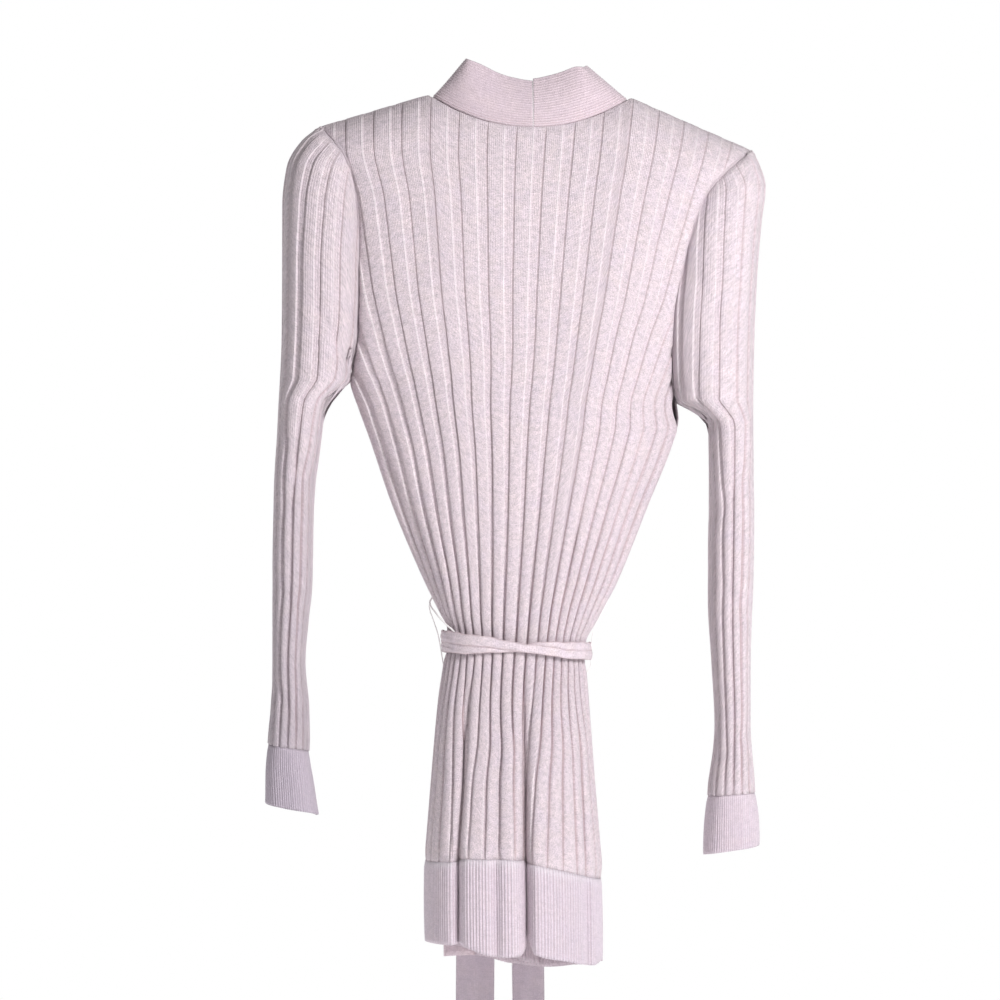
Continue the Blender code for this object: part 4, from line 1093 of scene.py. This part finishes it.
HEATHER = heather_group()
STITCHES = stitch_group()
WIDE_KNIT = knit("wide_rib_knit", 0.27, 0.6, (0.70, 0.60, 0.64), 0.1)
FINE_KNIT = knit("fine_rib_knit", 0.22, 0.4, (0.54, 0.475, 0.59), 0.30)
COLLAR_KNIT = knit("collar_knit", 0.17, 0.4, (0.66, 0.48, 0.55), 0.25)
# The tails' dark lilac tint is painted shade, for the shade they hang in behind the body
SHADED_TAIL_KNIT = knit("tail_knit", 0.14, 0.4, (0.36, 0.29, 0.38), 0.42)
BELT_KNIT = knit("belt_knit", 0.2, 0.5)
THREAD = knit("loop_thread", 0.02, 0.1, (0.97, 0.95, 0.94), 0.9)


# Building the cardigan

bpy.ops.object.select_all(action="DESELECT")
back = panel("knit_back", -1, 1, BACK_RIBS, -1, None, BACK_HEM, BACK_ROWS, ALL_KINDS)
front_left = panel("knit_front_left", -1, LEFT_END_T, LEFT_FRONT_RIBS, 1, LEFT_WRAP, LEFT_FRONT_HEM,
                   FRONT_ROWS, SLIM_KINDS, under=True)
front_right = panel("knit_front_right", 1, RIGHT_END_T, RIGHT_FRONT_RIBS, 1, RIGHT_WRAP, RIGHT_FRONT_HEM,
                    FRONT_ROWS, SLIM_KINDS)
hem_back = hem_band("knit_hem_back", -1, 1, -1, BACK_HEM, 26)
hem_left = hem_band("knit_hem_front_left", -1, LEFT_END_T, 1, LEFT_FRONT_HEM, 20, under=True)
hem_right = hem_band("knit_hem_front_right", 1, RIGHT_END_T, 1, RIGHT_FRONT_HEM, 20)
sleeve_left = sleeve("knit_sleeve_left", -1, LEFT_CUFF[0])
cuff_left = cuff("knit_cuff_left", -1, *LEFT_CUFF)
sleeve_right = sleeve("knit_sleeve_right", 1, RIGHT_CUFF[0])
cuff_right = cuff("knit_cuff_right", 1, *RIGHT_CUFF)
band_left = band("knit_band_left", -1, LEFT_COLLAR_RISE, LEFT_WRAP, LEFT_FRONT_HEM, 1)
band_right = band("knit_band_right", 1, RIGHT_COLLAR_RISE, RIGHT_WRAP, RIGHT_FRONT_HEM, 0)
strand("knit_belt_upper", UPPER_STRAND, "belt_wrap")
strand("knit_belt_lower", LOWER_STRAND, None)
knot()
tail_left = tail("knit_belt_tail_left", LEFT_TAIL, 0.25)
tail_right = tail("knit_belt_tail_right", RIGHT_TAIL, -0.3)
armhole_seam("knit_seam_left", -1)
armhole_seam("knit_seam_right", 1)
swept("thread_loop_left", LEFT_LOOP, LOOP_RADIUS, THREAD, "belt_loop_left")
swept("thread_strand_left", LEFT_THREAD, THREAD_RADIUS, THREAD)
swept("thread_loop_right", RIGHT_LOOP, LOOP_RADIUS, THREAD, "belt_loop_right")
swept("thread_strand_right", RIGHT_THREAD, THREAD_RADIUS, THREAD)


# Floor, light and camera

def plain(name, colour, glow):
    """A dull material with a little light of its own."""
    made = bpy.data.materials.new(name)
    made.use_nodes = True
    shader = made.node_tree.nodes["Principled BSDF"]
    shader.inputs["Base Color"].default_value = (*colour, 1)
    shader.inputs["Roughness"].default_value = 0.9
    shader.inputs["Emission Color"].default_value = (1, 1, 1, 1)
    shader.inputs["Emission Strength"].default_value = glow
    return made


bpy.ops.mesh.primitive_plane_add(size=3.2, location=(0, 0, -0.95))
floor = bpy.context.object
floor.name = "floor"
floor.data.materials.append(plain("pale_floor", (0.95, 0.95, 0.95), 0.55))

world = bpy.data.worlds.new("white_room")
bpy.context.scene.world = world
world.use_nodes = True
room = world.node_tree
lighting = room.nodes["Background"]
lighting.inputs["Color"].default_value = (1, 1, 1, 1)
lighting.inputs["Strength"].default_value = 0.34
seen = add(room, "ShaderNodeBackground", {"Color": (1, 1, 1, 1), "Strength": 1.0})
ray = add(room, "ShaderNodeLightPath")
either = add(room, "ShaderNodeMixShader",
             {0: ray.outputs["Is Camera Ray"], 1: lighting.outputs[0], 2: seen.outputs[0]})
room.links.new(either.outputs[0], room.nodes["World Output"].inputs["Surface"])


def soft_light(name, spot, aim, size, watts):
    """A square lamp at spot, turned to aim."""
    bpy.ops.object.light_add(type="AREA", location=spot)
    lamp = bpy.context.object
    lamp.name = name
    lamp.data.size = size
    lamp.data.energy = watts
    away = np.array(aim) - np.array(spot)
    flat = math.hypot(away[0], away[1])
    lamp.rotation_euler = (math.atan2(flat, -away[2]), 0, math.atan2(away[1], away[0]) - math.pi / 2)


soft_light("key_from_right", (0.9, -1.45, 0.2), (0, 0, -0.35), 0.4, 27)
soft_light("front_fill", (0.3, -2.4, -0.2), (0, 0, -0.5), 1.2, 3)
soft_light("far_side_fill", (-0.9, 1.9, 0.3), (0, 0, -0.4), 0.8, 22)

bpy.ops.object.camera_add(location=(-0.0279, -6.0, -0.36), rotation=(math.pi / 2, 0, 0))
camera = bpy.context.object
camera.data.lens = 240
camera.data.sensor_width = 36
bpy.context.scene.camera = camera
bpy.context.scene.view_settings.view_transform = "Standard"
